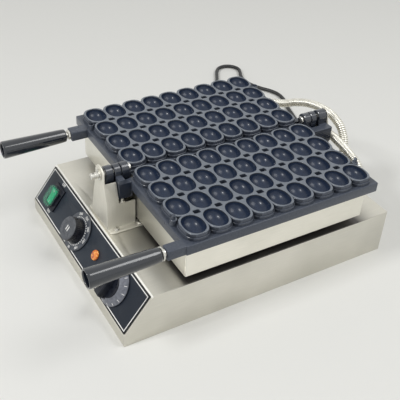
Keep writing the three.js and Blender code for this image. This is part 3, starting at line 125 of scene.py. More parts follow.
class Finish:
    """One material: a Principled surface whose colour, roughness and bump come from Fields."""

    def __init__(self, name, colour, roughness, metallic=0.0, coat=0.0, shine=0.5, slot=None):
        self.slot = slot or name
        self.material = bpy.data.materials.new(name)
        self.material.use_nodes = True
        self.tree = self.material.node_tree
        self.surface = self.tree.nodes["Principled BSDF"]
        self.hold({"Base Color": (*colour, 1), "Roughness": roughness, "Metallic": metallic})
        self.hold({"Coat Weight": coat, "Specular IOR Level": shine})
        self.place = self.node("ShaderNodeTexCoord", output="Object")

    def hold(self, constants):
        for key, value in constants.items():
            self.surface.inputs[key].default_value = value

    def node(self, kind, settings=None, inputs=None, output=0):
        plain = {}
        for key, value in (inputs or {}).items():
            plain[key] = value.socket if isinstance(value, Field) else value
        return Field(self, add_node(self.tree, kind, settings, plain, output))

    def along(self, axis):
        return self.node("ShaderNodeSeparateXYZ", inputs={0: self.place}, output="XYZ".index(axis))

    def grain(self, scale, detail=3.0, stretch=(1, 1, 1)):
        moved = self.node("ShaderNodeMapping", inputs={"Vector": self.place, "Scale": stretch})
        return self.node("ShaderNodeTexNoise", inputs={"Vector": moved, "Scale": scale, "Detail": detail})

    def ramp(self, factor, *stops):
        made = self.node("ShaderNodeValToRGB", inputs={0: factor})
        elements = made.socket.node.color_ramp.elements
        while len(elements) < len(stops):
            elements.new(0.5)
        for element, (position, shade) in zip(elements, stops):
            element.position = position
            element.color = (*shade, 1)
        return made

    def tones(self, noise, dark, light):
        return self.ramp(noise, (0.3, dark), (0.7, light))

    def spread(self, factor, start, end, low=0.0, high=1.0):
        """The stretch from start to end becomes low to high."""
        limits = {"From Min": start, "From Max": end, "To Min": low, "To Max": high}
        return self.node("ShaderNodeMapRange", inputs={"Value": factor, **limits})

    def between(self, noise, low, high):
        return self.spread(noise, 0.3, 0.7, low, high)

    def speckle(self, scale, detail, dark, light, rough=None, stops=(0.3, 0.7), stretch=(1, 1, 1)):
        """One noise drives the colour, and the roughness where a range is given. Returns the noise."""
        noise = self.grain(scale, detail, stretch)
        self.drive(colour=self.ramp(noise, (stops[0], dark), (stops[1], light)))
        if rough:
            self.drive(roughness=self.between(noise, *rough))
        return noise

    def mix(self, factor, first, second):
        first, second = [value if isinstance(value, Field) else (*value, 1) for value in (first, second)]
        return self.node("ShaderNodeMix", {"data_type": "RGBA"}, {0: factor, 6: first, 7: second}, output=2)

    def drive(self, **fields):
        names = {"colour": "Base Color", "roughness": "Roughness", "coat": "Coat Weight"}
        for key, field in fields.items():
            self.tree.links.new(field.socket, self.surface.inputs[names[key]])

    def bump(self, height, depth, strength=1.0):
        inputs = {"Height": height, "Distance": depth, "Strength": strength}
        normal = self.node("ShaderNodeBump", inputs=inputs)
        self.tree.links.new(normal.socket, self.surface.inputs["Normal"])


def settled(holder):
    """The mesh that an object's text or modifiers make. The object itself goes."""
    mesh = bpy.data.meshes.new_from_object(holder.evaluated_get(bpy.context.evaluated_depsgraph_get()))
    bpy.data.objects.remove(holder)
    return mesh


def smooth_object(name, mesh):
    mesh.polygons.foreach_set("use_smooth", [True] * len(mesh.polygons))
    return placed(name, mesh)


def piece(name, mesh, body, finish, *replaced, smooth=35):
    """A finished mesh becomes an object on its body and stands for its solids."""
    made = smooth_object(name, mesh)
    mesh.materials.clear()
    mesh.materials.append(finish.material)
    mesh.set_sharp_from_angle(angle=math.radians(smooth))
    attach(made, body)
    if replaced:
        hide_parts(*replaced)
    return made


def mesh_of(name, points, faces):
    mesh = bpy.data.meshes.new(name)
    mesh.from_pydata([tuple(p) for p in points], [], faces)
    work = bmesh.new()
    work.from_mesh(mesh)
    bmesh.ops.remove_doubles(work, verts=work.verts, dist=1e-6)
    bmesh.ops.recalc_face_normals(work, faces=work.faces)
    work.to_mesh(mesh)
    work.free()
    return mesh


def lofted(name, rings, closed=False):
    """A skin over rings of equal count, capped at both ends or closed onto itself."""
    count = len(rings[0])
    faces = []
    for k in range(len(rings) if closed else len(rings) - 1):
        low, high = k * count, (k + 1) % len(rings) * count
        for i in range(count):
            j = (i + 1) % count
            faces.append((low + i, low + j, high + j, high + i))
    if not closed:
        last = (len(rings) - 1) * count
        faces += [tuple(range(count))[::-1], tuple(range(last, last + count))]
    return mesh_of(name, [p for ring in rings for p in ring], faces)


def turned(name, profile, axis, at, sides=48):
    """A turned piece. Profile pairs are radius and distance along the axis, in millimetres.
    A profile that starts away from the axis is a ring and comes back to its first pair."""
    turn = Vector(axis).to_track_quat("Z", "Y")
    hollow = profile[0][0] > 0
    rings = []
    for radius, distance in profile[: -1 if hollow else None]:
        reach = max(radius, 0.001)
        ring = []
        for i in range(sides):
            angle = 2 * math.pi * i / sides
            spot = Vector((reach * math.cos(angle), reach * math.sin(angle), distance))
            ring.append(Vector(at) + turn @ (spot * mm))
        rings.append(ring)
    return lofted(name, rings, closed=hollow)


def rounded_profile(profile, radius, steps=4):
    """The same profile with its corners turned into arcs, except for its first and last pair."""
    made = [profile[0]]
    for before, corner, after in zip(profile, profile[1:], profile[2:]):
        corner, into, out = Vector(corner), Vector(before) - Vector(corner), Vector(after) - Vector(corner)
        reach = min(radius, into.length / 2.01, out.length / 2.01)
        start, end = corner + into.normalized() * reach, corner + out.normalized() * reach
        for k in range(steps + 1):
            t = k / steps
            made.append(tuple(start * (1 - t) ** 2 + corner * (2 * t * (1 - t)) + end * t**2))
    return [*made, profile[-1]]


cord_diameter = 6.5 * mm
cord_height = 3.9
cord_rest = cord_height * mm
cord_exit = Vector((-70, 230.6, 28)) * mm
cord_falls = [(-70, 243, 27), (-74, 256, 22), (-84, 269, 13), (-99, 280, 6.5)]
cord_lies = [(-118, 288), (-146, 296), (-174, 303), (-198, 310), (-218, 316), (-240, 323), (-257, 330)]
cord_lies += [(-273, 335), (-290, 336), (-306, 330.5), (-322, 320.5), (-342, 311), (-364, 307.5)]
cord_lies += [(-383, 312), (-401.5, 321), (-412, 324.5), (-424, 321.5), (-432.5, 313), (-435.5, 301)]
cord_lies += [(-432.5, 289.5), (-425.5, 281.5), (-410.5, 271.5), (-391, 260), (-369, 243.5)]
cord_lies += [(-349, 218), (-335, 188)]
cord_route_mm = [*cord_falls, *[(x, y, cord_height) for x, y in cord_lies]]
coil_centre = Vector((-276, 140, 0)) * mm
coil_radius = 35.5 * mm
coil_pitch = cord_diameter + 1.5 * mm
coil_turns_per_layer = 1.84
coil_start = math.radians(205)
coil_steps_per_turn = 24
coil_lead = 7 * mm
coil_tail = 36 * mm

coil = []
coil_turns = 2 * coil_turns_per_layer + 0.5
coil_outer = coil_radius + coil_pitch * coil_turns_per_layer / 2
coil_steps = round(coil_turns * coil_steps_per_turn)
for k in range(coil_steps + 1):
    turns = k / coil_steps * coil_turns
    inward = min(turns, coil_turns_per_layer)
    outward = max(turns - coil_turns_per_layer - 0.5, 0)
    share = min(max((turns - coil_turns_per_layer) / 0.5, 0), 1)
    climb = share * share * (3 - 2 * share)
    radius = coil_outer + coil_pitch * (outward - inward)
    angle = coil_start + 2 * math.pi * turns
    spot = Vector((radius * math.cos(angle), radius * math.sin(angle), cord_rest + coil_pitch * climb))
    coil.append(coil_centre + spot)
coil_back = (coil[0] - coil[1]).normalized()
coil_ahead = (coil[-1] - coil[-2]).normalized()
cord_points = [
    cord_exit,
    *[Vector(p) * mm for p in cord_route_mm],
    coil[0] + coil_back * 3 * coil_lead,
    coil[0] + coil_back * coil_lead,
    *coil,
    coil[-1] + coil_ahead * coil_tail / 2,
    coil[-1] + coil_ahead * coil_tail,
]


def curve_through(name, points):
    data = bpy.data.curves.new(name, "CURVE")
    data.dimensions = "3D"
    spline = data.splines.new("BEZIER")
    spline.bezier_points.add(len(points) - 1)
    for knot, point in zip(spline.bezier_points, points):
        knot.co = point
        knot.handle_left_type = knot.handle_right_type = "AUTO"
    return placed(name, data)


rubber = Finish("rubber", (0.014, 0.015, 0.017), 0.5)
rubber.speckle(90, 6, (0.010, 0.011, 0.013), (0.030, 0.031, 0.033), (0.38, 0.58), (0.35, 0.75))
rubber.bump(rubber.grain(900, 2), 0.00004)

cord = curve_through("mains_cord", cord_points)
cord.data.bevel_depth = cord_diameter / 2
cord.data.bevel_resolution = 4
cord.data.resolution_u = 4
cord.data.use_fill_caps = True
cord.data.materials.append(rubber.material)
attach(cord, "base")
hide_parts("cord_run", "cord_coil")


def squared_oval(half_u, half_v, power, sides, first=0.0):
    """Pairs round an oval whose sides grow flatter with its power."""
    pairs = []
    for i in range(sides):
        c, s = math.cos(2 * math.pi * (i + first) / sides), math.sin(2 * math.pi * (i + first) / sides)
        u = math.copysign(abs(c) ** (2 / power), c) * half_u
        pairs.append((u, math.copysign(abs(s) ** (2 / power), s) * half_v))
    return pairs


plug_sections = [(0, 4.2, 4.2), (1.2, 5, 5), (9, 5, 5), (16.3, 5.6, 5.6), (19, 9, 7), (24.3, 15.6, 10.2)]
plug_sections += [(28, 16.4, 10.7), (44, 16.4, 10.7), (47.6, 15.8, 10.2), (48.3, 14.6, 9.2)]
plug_across = Vector((-coil_ahead.y, coil_ahead.x, 0))
plug_root = cord_points[-1] + coil_ahead * 0.3 * mm
plug_rings = []
for distance, half_width, half_height in plug_sections:
    ring = []
    for u, v in squared_oval(half_width, half_height, 3, 32):
        ring.append(plug_root + (coil_ahead * distance + plug_across * u + Vector((0, 0, v))) * mm)
    plug_rings.append(ring)
plug = piece("mains_plug_body", lofted("plug", plug_rings), "base", rubber, "mains_plug")

plated = Finish("plated_steel", (0.62, 0.61, 0.58), 0.24, 1.0)
plated.speckle(260, 5, (0.60, 0.59, 0.55), (0.74, 0.73, 0.69), (0.16, 0.36), (0.3, 0.65))
pin_profile = rounded_profile([(0, 0), (2.3, 0), (2.3, 19.6), (0, 19.6)], 1.1)
pin_start, pin_reach = 47.2, 9.5
for side in (-1, 1):
    root = plug_root + (coil_ahead * pin_start + plug_across * side * pin_reach) * mm
    pin = turned("pin", pin_profile, coil_ahead, root)
    piece(f"plug_pin_{side + 2}", pin, "base", plated)

relief_profile = [(0, -3.4), (4.5, -3.4), (4.5, 0.3), (9.4, 0.3), (9.4, 6.2), (7.2, 6.6)]
relief_ribs, rib_step, rib_taper = 6, 3.4, 0.38
for k in range(relief_ribs):
    start, radius = 8.4 + k * rib_step, 6.6 - k * rib_taper
    relief_profile += [(radius - 1.1, start - 1.2), (radius - 1.1, start)]
    relief_profile += [(radius, start + 0.3), (radius - 0.1, start + 2)]
relief_profile += [(4.4, 29.6), (4.3, 30.2), (0, 30.2)]
relief = turned("relief", relief_profile, (0, 1, 0), (-0.070, 0.200, 0.028))
piece("mains_relief", relief, "base", rubber, "cord_relief")

# Base shell
# One folded stainless steel sheet, brushed along its length, closed below by a screwed tray. The folds
# keep a small outside radius. The top carries painted shade under the halves, darkest under the near
# one, and a painted highlight runs along the fold above the control panel.
def rounded_copy(name, node, width, body, finish, segments=2, angle=30):
    """The solid's own shape with its edges rounded, which stands for it."""
    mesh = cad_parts[node].data.copy()
    work = bmesh.new()
    work.from_mesh(mesh)
    bmesh.ops.remove_doubles(work, verts=work.verts, dist=2e-6)
    flat = math.radians(1)
    bmesh.ops.dissolve_limit(work, angle_limit=flat, verts=work.verts, edges=work.edges)
    bmesh.ops.recalc_face_normals(work, faces=work.faces)
    work.to_mesh(mesh)
    work.free()
    made = placed(name, mesh)
    bevel = made.modifiers.new("edges", "BEVEL")
    bevel.width = width
    bevel.segments = segments
    bevel.angle_limit = math.radians(angle)
    bevel.harden_normals = False
    return piece(name, settled(made), body, finish, node)


def brushed_sheet(name, along, smoothest=0.30, level=1.0):
    """Stainless sheet: long fine scratches on one axis, with broad soft stains."""
    sheet = Finish(name, (0.72, 0.70, 0.64), smoothest, 0.9, slot="stainless")
    stretch = tuple(4 if axis == along else 260 for axis in "XYZ")
    scratches = sheet.grain(9, 2, stretch)
    stains = sheet.grain(11, 4)
    tone = scratches * 0.35 + stains * 0.65
    # The level scales the whole colour; the brackets' and covers' higher levels are painted light.
    dull, clean = [tuple(c * level for c in shade) for shade in ((0.58, 0.565, 0.505), (0.71, 0.69, 0.63))]
    sheet.steel = sheet.ramp(tone, (0.33, dull), (0.68, clean))
    sheet.drive(colour=sheet.steel, roughness=sheet.between(tone, smoothest, smoothest + 0.14))
    sheet.bump(scratches, 0.00002, 0.5)
    return sheet


shell = brushed_sheet("brushed_shell", "Y", level=1.06)
cover_low, cover_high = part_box("near_cover")
cover_middle = (cover_low.y + cover_high.y) / 2
cover_reach = (cover_high.y - cover_low.y) / 2
base_top, fold_y, fold_z, fold_half = 65.5 * mm, -162.8 * mm, 64 * mm, 1.1 * mm
past_end = (shell.along("Y") - cover_middle).size() - cover_reach
# Painted shade: the top darkens under the halves, most under the near one at +X.
painted_gap_shade = shell.spread(past_end, -0.004, 0.045, 1.0, 0.0).power(2.2) * shell.along("Z").above(base_top)
# Painted highlight: a pale line along the fold above the control panel.
painted_fold_highlight = (shell.along("Y") - fold_y).size().below(fold_half) * shell.along("Z").above(fold_z)
gap_shade_side = shell.spread(shell.along("X"), -0.05, 0.06)
gap_shade_colour = shell.ramp(gap_shade_side, (0.0, (0.34, 0.33, 0.30)), (1.0, (0.09, 0.084, 0.082)))
gap_shaded_steel = shell.mix(painted_gap_shade, shell.steel, gap_shade_colour)
shell.drive(colour=shell.mix(painted_fold_highlight, gap_shaded_steel, (0.98, 0.97, 0.92)))
rounded_copy("base_housing", "base_shell", 0.9 * mm, "base", shell, 3)
rounded_copy("base_tray", "bottom_plate", 0.5 * mm, "base", shell)

# Control fascia
# A thin dark blue-grey printed plate lies on the slope, with a white border line near its edge.
# Painted shade darkens it towards +X.
fascia_lip = Vector((0, -0.200, 0.0173))
fascia_rise = Vector((0, 37.5, 49.4)).normalized()
fascia_out = Vector((0, -fascia_rise.z, fascia_rise.y))


def on_fascia(x, v, h=0.0):
    return fascia_lip + (Vector((x, 0, 0)) + fascia_rise * v + fascia_out * h) * mm


def over_slope(finish, direction):
    """How far a point lies from the fascia's lower edge, along a direction across X."""
    return (finish.along("Y") - fascia_lip.y) * direction.y + (finish.along("Z") - fascia_lip.z) * direction.z


fascia = Finish("fascia_print", (0.028, 0.036, 0.052), 0.42, shine=0.25)
fascia_speck = fascia.grain(60, 5)
edge_line = 4.2 * mm
line_width = 1.3 * mm
fascia_half, fascia_top = 153 * mm, 62.02 * mm
from_side = fascia_half - fascia.along("X").size()
from_rim = fascia_top / 2 - (over_slope(fascia, fascia_rise) - fascia_top / 2).size()
inside = from_side.above(edge_line) * from_rim.above(edge_line)
deeper = from_side.above(edge_line + line_width) * from_rim.above(edge_line + line_width)
fascia_paint = fascia.tones(fascia_speck, (0.022, 0.029, 0.042), (0.033, 0.042, 0.056))
# Painted shade: the print darkens towards +X.
fascia_painted_shade = fascia.spread(fascia.along("X"), 0.03, 0.14, 0.0, 0.75)
fascia_paint = fascia.mix(fascia_painted_shade, fascia_paint, (0.010, 0.015, 0.026))
fascia_field = fascia.mix(inside, (0.012, 0.013, 0.016), fascia_paint)
fascia.drive(
    colour=fascia.mix(inside - deeper, fascia_field, (0.95, 0.95, 0.93)),
    roughness=fascia.between(fascia_speck, 0.34, 0.5),
)
rounded_copy("control_plate", "control_fascia", 0.25 * mm, "base", fascia)

# Power switch
# A black snap-in housing with a green rocker under a clear splash boot.
# The rocker has a faint painted glow.
black_plastic = Finish("black_plastic", (0.016, 0.017, 0.020), 0.32, shine=0.28)
black_plastic.speckle(160, 4, (0.007, 0.009, 0.016), (0.015, 0.018, 0.028), (0.24, 0.4))
green_lens = Finish("green_lens", (0.02, 0.46, 0.20), 0.25, shine=0.3)
# Painted glow: the rocker has a faint green emission.
green_lens.hold({"Emission Color": (0.01, 0.45, 0.17, 1), "Emission Strength": 0.15})
green_lens.speckle(240, 2, (0.008, 0.38, 0.16), (0.02, 0.54, 0.24))
clear_boot = Finish("clear_boot", (0.10, 0.42, 0.27), 0.12, coat=0.3, shine=0.4)
clear_boot.hold({"Alpha": 0.2})
clear_boot.drive(roughness=clear_boot.between(clear_boot.grain(120, 3), 0.05, 0.2))
rounded_copy("switch_frame", "switch_housing", 0.6 * mm, "base", black_plastic)
rounded_copy("switch_lever", "switch_rocker", 0.5 * mm, "rocker", green_lens, 3)
rounded_copy("switch_cap", "switch_boot", 0.35 * mm, "base", clear_boot)

# Thermostat and timer
# Two moulded knobs on plated shafts: a finely ridged black one with a printed skirt and two bars on
# its cap, and a pointer on a grey cone with ticks.
knob_base = 2.4
thermostat_at = (-24, 31)
timer_at = (93, 30)

thermostat_skirt = [(0, 0), (26.9, 0), (26.9, 1.5), (25.8, 2.2), (17.2, 2.6), (0, 2.6)]
thermostat_grip = [(0, 2.4), (17.0, 2.4), (16.8, 3.4), (16.5, 17.0), (16.0, 18.1), (14.9, 18.6)]
thermostat_cap = [(13.4, 18.4), (9.6, 18.4), (9.2, 18.75), (8.6, 18.75), (8.0, 18.1), (0, 18.1)]


def ridged(name, lower, upper, at, ridges, bite, sides=160):
    """A knob whose side is cut by fine ridges below its smooth cap."""
    rings = []
    centre = on_fascia(*at, knob_base)
    for k, (radius, height) in enumerate([*lower, *upper]):
        ring = []
        for i in range(sides):
            angle = 2 * math.pi * i / sides
            pull = bite * (0.5 + 0.5 * math.cos(ridges * angle)) if 0 < k < len(lower) - 1 else 0
            reach = max(radius - pull, 0.001)
            spot = Vector((reach * math.cos(angle), 0, 0)) + fascia_rise * reach * math.sin(angle)
            ring.append(centre + (spot + fascia_out * height) * mm)
        rings.append(ring)
    return lofted(name, rings)


knob_colour = (0.016, 0.017, 0.020)
knob_plastic = Finish("knob_plastic", knob_colour, 0.26, coat=0.05, shine=0.25, slot="black_plastic")
knob_wear = knob_plastic.grain(160, 4)
knob_side = knob_plastic.tones(knob_wear, (0.006, 0.007, 0.012), (0.012, 0.014, 0.022))
# Painted sheen: the black knob's cap is a lighter grey than its sides.
knob_cap_sheen = knob_plastic.tones(knob_wear, (0.085, 0.092, 0.106), (0.115, 0.123, 0.140))
knob_shoulder = (knob_base + 17.2) * mm
on_cap = over_slope(knob_plastic, fascia_out).above(knob_shoulder)
knob_plastic.drive(
    colour=knob_plastic.mix(on_cap, knob_side, knob_cap_sheen),
    roughness=knob_plastic.between(knob_wear, 0.2, 0.32),
)
skirt_grey = Finish("skirt_grey", (0.10, 0.11, 0.13), 0.34, slot="black_plastic")
skirt_grey.speckle(300, 4, (0.048, 0.056, 0.072), (0.078, 0.088, 0.108))
dial = ridged("dial", thermostat_grip, thermostat_cap, thermostat_at, 40, 0.35)
piece("thermostat_dial", dial, "thermostat_control", knob_plastic, "thermostat_knob")
skirt_outline = rounded_profile(thermostat_skirt, 0.4, 2)
skirt_disc = turned("skirt", skirt_outline, fascia_out, on_fascia(*thermostat_at, knob_base), 96)
piece("thermostat_skirt", skirt_disc, "thermostat_control", skirt_grey)

print_white = Finish("print_white", (0.80, 0.80, 0.78), 0.5, slot="fascia_print")
print_white.speckle(500, 4, (0.78, 0.78, 0.77), (0.95, 0.95, 0.94), stops=(0.3, 0.6))


def lettering(name, text, size, x, v, h, body, turn=0.0, tip=0.0):
    """Flat printed characters at a point of the fascia's plane, turned about the way out of it."""
    data = bpy.data.curves.new(name, "FONT")
    data.body = text
    data.size = size * mm
    data.align_x = "CENTER"
    data.align_y = "CENTER"
    data.extrude = 0.06 * mm
    data.offset = 0.12 * mm
    data.resolution_u = 3
    mesh = settled(placed(name, data))
    basis = Matrix((Vector((1, 0, 0)), fascia_rise, fascia_out)).transposed().to_4x4()
    spin = Matrix.Rotation(turn, 4, "Z") @ Matrix.Rotation(tip, 4, "X")
    mesh.transform(Matrix.Translation(on_fascia(x, v, h)) @ basis @ spin)
    return piece(name, mesh, body, print_white)


def ring_marks(name, at, marks, body):
    """Short bars round a knob: (angle, inner radius, outer radius, width, inner height, outer height)."""
    points, faces = [], []
    for angle, near, far, width, low, high in marks:
        ahead = Vector((math.cos(angle), 0, 0)) + fascia_rise * math.sin(angle)
        across = Vector((-math.sin(angle), 0, 0)) + fascia_rise * math.cos(angle)
        first = len(points)
        for lift in (-0.05, 0.05):
            for radius, height in ((near, low), (far, high)):
                for side in (-width / 2, width / 2):
                    spot = ahead * radius + across * side + fascia_out * (height + lift)
                    points.append(on_fascia(*at, knob_base) + spot * mm)
        for face in ((0, 1, 3, 2), (4, 6, 7, 5), (0, 4, 5, 1), (2, 3, 7, 6), (0, 2, 6, 4), (1, 5, 7, 3)):
            faces.append(tuple(first + i for i in face))
    return piece(name, mesh_of(name, points, faces), body, print_white)


dial_marks = []
for k in range(28):
    dial_marks.append((math.radians(-135 + k * 10), 18.6, 20.2, 1.5, 2.75, 2.65))
ring_marks("thermostat_scale", thermostat_at, dial_marks, "thermostat_control")
figure_circle, figure_size, figure_height = 23.4, 4.9, knob_base + 2.6
for k in range(7):
    angle = math.radians(-120 + k * 40)
    x = thermostat_at[0] + figure_circle * math.cos(angle)
    v = thermostat_at[1] + figure_circle * math.sin(angle)
    turn = angle - math.pi / 2
    name = f"thermostat_figure_{k}"
    lettering(name, str(50 * k), figure_size, x, v, figure_height, "thermostat_control", turn)
cap_bar = [(math.pi / 2, -3.6, 3.6, 1.7, 18.15, 18.15)]
for side in (-1, 1):
    at = (thermostat_at[0] + side * 2.1, thermostat_at[1])
    ring_marks(f"thermostat_mark_{side + 2}", at, cap_bar, "thermostat_control")

cone_grey = Finish("cone_grey", (0.20, 0.21, 0.24), 0.3, slot="black_plastic")
cone_grey.speckle(300, 4, (0.12, 0.13, 0.16), (0.21, 0.22, 0.26), (0.28, 0.44))
timer_cone = rounded_profile([(0, 0), (26, 0), (26, 1.2), (17.6, 7.9), (15.8, 7.95), (0, 7.95)], 0.6)
timer_hub = rounded_profile([(0, 7.8), (17, 7.8), (16.6, 9.2), (0, 9.4)], 0.7)
timer_seat = on_fascia(*timer_at, knob_base)
cone = turned("cone", timer_cone, fascia_out, timer_seat, 96)
piece("timer_cone", cone, "timer_control", cone_grey, "timer_knob")
hub = turned("hub", timer_hub, fascia_out, timer_seat, 64)
piece("timer_hub", hub, "timer_control", black_plastic)
pointer_tip, pointer_half = 18.4, 6.4
pointer_outline = [(-17.6, -6.0), (-6.4, -pointer_half), (6.4, -pointer_half), (pointer_tip, -2.4)]
pointer_outline += [(pointer_tip, 2.4), (6.4, pointer_half), (-6.4, pointer_half), (-17.6, 6.0)]
pointer_rings = []
for height, shrink in ((7.4, 0.0), (17.6, 0.5), (19.2, 1.1), (19.8, 2.2)):
    short, narrow = 1 - shrink / pointer_tip, 1 - shrink / pointer_half * 0.6
    ring = []
    for u, v in pointer_outline:
        ring.append(on_fascia(timer_at[0] - v * narrow, timer_at[1] + u * short, knob_base + height))
    pointer_rings.append(ring)
piece("timer_pointer", lofted("pointer", pointer_rings), "timer_control", black_plastic, smooth=40)
cone_marks = []
for k in range(13):
    cone_marks.append((math.radians(-240 + k * 25), 22.4, 25.2, 0.8, 4.2, 1.9))
ring_marks("timer_scale", timer_at, cone_marks, "timer_control")


def coat_nodes(finish, *nodes):
    """Solids that show as they are keep their own mesh and get a finish."""
    for node in nodes:
        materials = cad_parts[node].data.materials
        materials.clear()
        materials.append(finish.material)


coat_nodes(plated, "thermostat_shaft", "timer_shaft")
ceramic = Finish("ceramic", (0.70, 0.67, 0.60), 0.6)
ceramic.bump(ceramic.speckle(420, 5, (0.58, 0.55, 0.48), (0.74, 0.71, 0.65)), 0.0001)
coat_nodes(ceramic, "thermostat_body", "timer_body", "terminal_block")

lettering("mark_off", "OFF", 5.4, -108.3, 53.4, 1.38, "base")
lettering("mark_on", "ON", 5.4, -106.5, 9.6, 1.38, "base")
lettering("rocker_off", "O", 5.0, -108.6, 40.2, 10.16, "rocker", tip=math.radians(10.5))
lettering("rocker_on", "I", 5.0, -108.6, 23.2, 8.40, "rocker", tip=math.radians(1.4))

# Pilot lamp
# A low amber lens snapped through the fascia, in front of its lamp holder.
amber = Finish("amber_lens", (0.78, 0.20, 0.03), 0.12, coat=0.8)
amber.hold({"Emission Color": (0.9, 0.25, 0.03, 1), "Emission Strength": 0.06})
facets = {"Vector": amber.place, "Scale": 380.0}
facet_tone = amber.node("ShaderNodeTexVoronoi", inputs=facets, output="Color")
facet_depth = amber.node("ShaderNodeTexVoronoi", inputs=facets, output="Distance")
amber_dark, amber_mid, amber_light = (0.42, 0.07, 0.008), (0.80, 0.20, 0.01), (1.0, 0.44, 0.06)
amber.drive(colour=amber.ramp(facet_tone, (0.2, amber_dark), (0.5, amber_mid), (0.85, amber_light)))
amber.bump(facet_depth, 0.0006)
lamp_profile = [(0, -4.9), (3.9, -4.9), (3.9, 1.7), (7.0, 1.7), (7.0, 2.9), (6.3, 4.0), (4.2, 4.6), (0, 4.8)]
lamp_at = on_fascia(31, 31.6)
barrel = turned("barrel", rounded_profile(lamp_profile, 0.4, 2), fascia_out, lamp_at, 40)
piece("pilot_barrel", barrel, "base", amber, "pilot_lens")
coat_nodes(black_plastic, "pilot_body")

# Brackets, bolts and screws
# Two folded sheet brackets carry the hinge bolts, and pan-head screws hold their feet to the base.
# Painted light: the brackets' steel is made lighter than the base's.
bracket = brushed_sheet("brushed_bracket", "Z", 0.46, 1.16)
for end in ("front", "rear"):
    rounded_copy(f"bracket_{end}", f"{end}_bracket", 0.35 * mm, "base", bracket)

centre_y, hinge_z = 16.7, 143
hinge_line = Vector((0, centre_y, hinge_z)) * mm


def node_tree(name, *inputs):
    """An empty geometry tree with a Geometry input and output and the named inputs."""
    tree = bpy.data.node_groups.new(name, "GeometryNodeTree")
    tree.interface.new_socket("Geometry", in_out="INPUT", socket_type="NodeSocketGeometry")
    for label, kind in inputs:
        tree.interface.new_socket(label, in_out="INPUT", socket_type=kind)
    tree.interface.new_socket("Geometry", in_out="OUTPUT", socket_type="NodeSocketGeometry")
    return tree, tree.nodes.new("NodeGroupInput"), tree.nodes.new("NodeGroupOutput")


def grown(name, mesh, tree, **values):
    """The plain mesh that a tree makes from a start mesh and its named inputs."""
    start = placed(name, mesh)
    modifier = start.modifiers.new(name, "NODES")
    modifier.node_group = tree
    for socket in tree.interface.items_tree:
        if socket.in_out == "INPUT" and socket.name in values:
            modifier[socket.identifier] = values[socket.name]
    return settled(start)


scatter_inputs = ("Piece", "NodeSocketObject"), ("Finish", "NodeSocketMaterial")
scatter, entry, leave = node_tree("pieces_on_points", *scatter_inputs)
chosen = {"Object": entry.outputs["Piece"]}
source = add_node(scatter, "GeometryNodeObjectInfo", inputs=chosen, output="Geometry")
pairing = {"Points": entry.outputs["Geometry"], "Instance": source}
copies = add_node(scatter, "GeometryNodeInstanceOnPoints", inputs=pairing)
copies = add_node(scatter, "GeometryNodeRealizeInstances", inputs={"Geometry": copies})
painted = {"Geometry": copies, "Material": entry.outputs["Finish"]}
scatter.links.new(add_node(scatter, "GeometryNodeSetMaterial", inputs=painted), leave.inputs["Geometry"])


def carve(target, cutter, operation="DIFFERENCE"):
    """One solid mesh joined with or cut by another."""
    base = smooth_object("base", target)
    tool = smooth_object("tool", cutter)
    modifier = base.modifiers.new("carve", "BOOLEAN")
    modifier.operation = operation
    modifier.solver = "MANIFOLD"
    modifier.object = tool
    made = settled(base)
    bpy.data.objects.remove(tool)
    return made


def slab(name, x, y, z, radius=0.0, segments=2):
    """A block between two corners, in millimetres, with rounded edges."""
    work = bmesh.new()
    bmesh.ops.create_cube(work, size=1)
    for vert in work.verts:
        vert.co = Vector([a + (b - a) * (c + 0.5) for (a, b), c in zip((x, y, z), vert.co)]) * mm
    if radius:
        rounding = {"offset": radius * mm, "segments": segments, "profile": 0.5, "affect": "EDGES"}
        bmesh.ops.bevel(work, geom=work.edges[:], **rounding)
    bmesh.ops.recalc_face_normals(work, faces=work.faces)
    mesh = bpy.data.meshes.new(name)
    work.to_mesh(mesh)
    work.free()
    return mesh


for end, name, tail, clip_seat in ((-1, "front", 187.9, 176.3), (1, "rear", 182, 179.2)):
    bolt_profile = [(0, 134.7), (5.4, 134.7), (5.4, 138), (4.1, 138), (4.1, tail), (0, tail)]
    bolt = turned("bolt", rounded_profile(bolt_profile, 0.8, 3), (0, end, 0), hinge_line, 40)
    if name == "front":
        eye_at = hinge_line + Vector((0, -184.5, 0)) * mm
        bolt = carve(bolt, turned("eye", [(0, -6), (1, -6), (1, 6), (0, 6)], (0, 0, 1), eye_at, 16))
    piece(f"pivot_{name}", bolt, "base", plated, f"{name}_hinge_bolt")
    clip_back = clip_seat + 1.6
    clip_profile = [(4.4, clip_seat), (7, clip_seat), (7, clip_back), (4.4, clip_back), (4.4, clip_seat)]
    clip = turned("clip", clip_profile, (0, end, 0), hinge_line, 40)
    piece(f"clip_{name}", clip, "base", plated, f"{name}_bolt_clip")

screw_top = 2.3
screw_profile = [(0, -9), (2, -9), (2, 0), (3.9, 0), (3.85, 0.5), (3.3, 1.6), (1.9, 2.2), (0, screw_top)]
screw_mesh = turned("screw", screw_profile, (0, 0, 1), (0, 0, 0), 32)
for x, y in ((2.1, 0.42), (0.42, 2.1)):
    screw_mesh = carve(screw_mesh, slab("recess", (-x, x), (-y, y), (1.0, 3)))
screw = smooth_object("pan_head_screw", screw_mesh)
foot_screws = bpy.data.meshes.new("foot_screw_points")
screw_nodes = [f"bracket_screw_{k}" for k in range(1, 9)]
seats = []
for node in screw_nodes:
    low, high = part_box(node)
    seats.append(((low.x + high.x) / 2, (low.y + high.y) / 2, high.z - screw_top * mm))
foot_screws.from_pydata(seats, [], [])
screws = grown("foot_screws", foot_screws, scatter, Piece=screw, Finish=plated.material)
piece("foot_screws", screws, "base", plated, *screw_nodes)
bpy.data.objects.remove(screw)

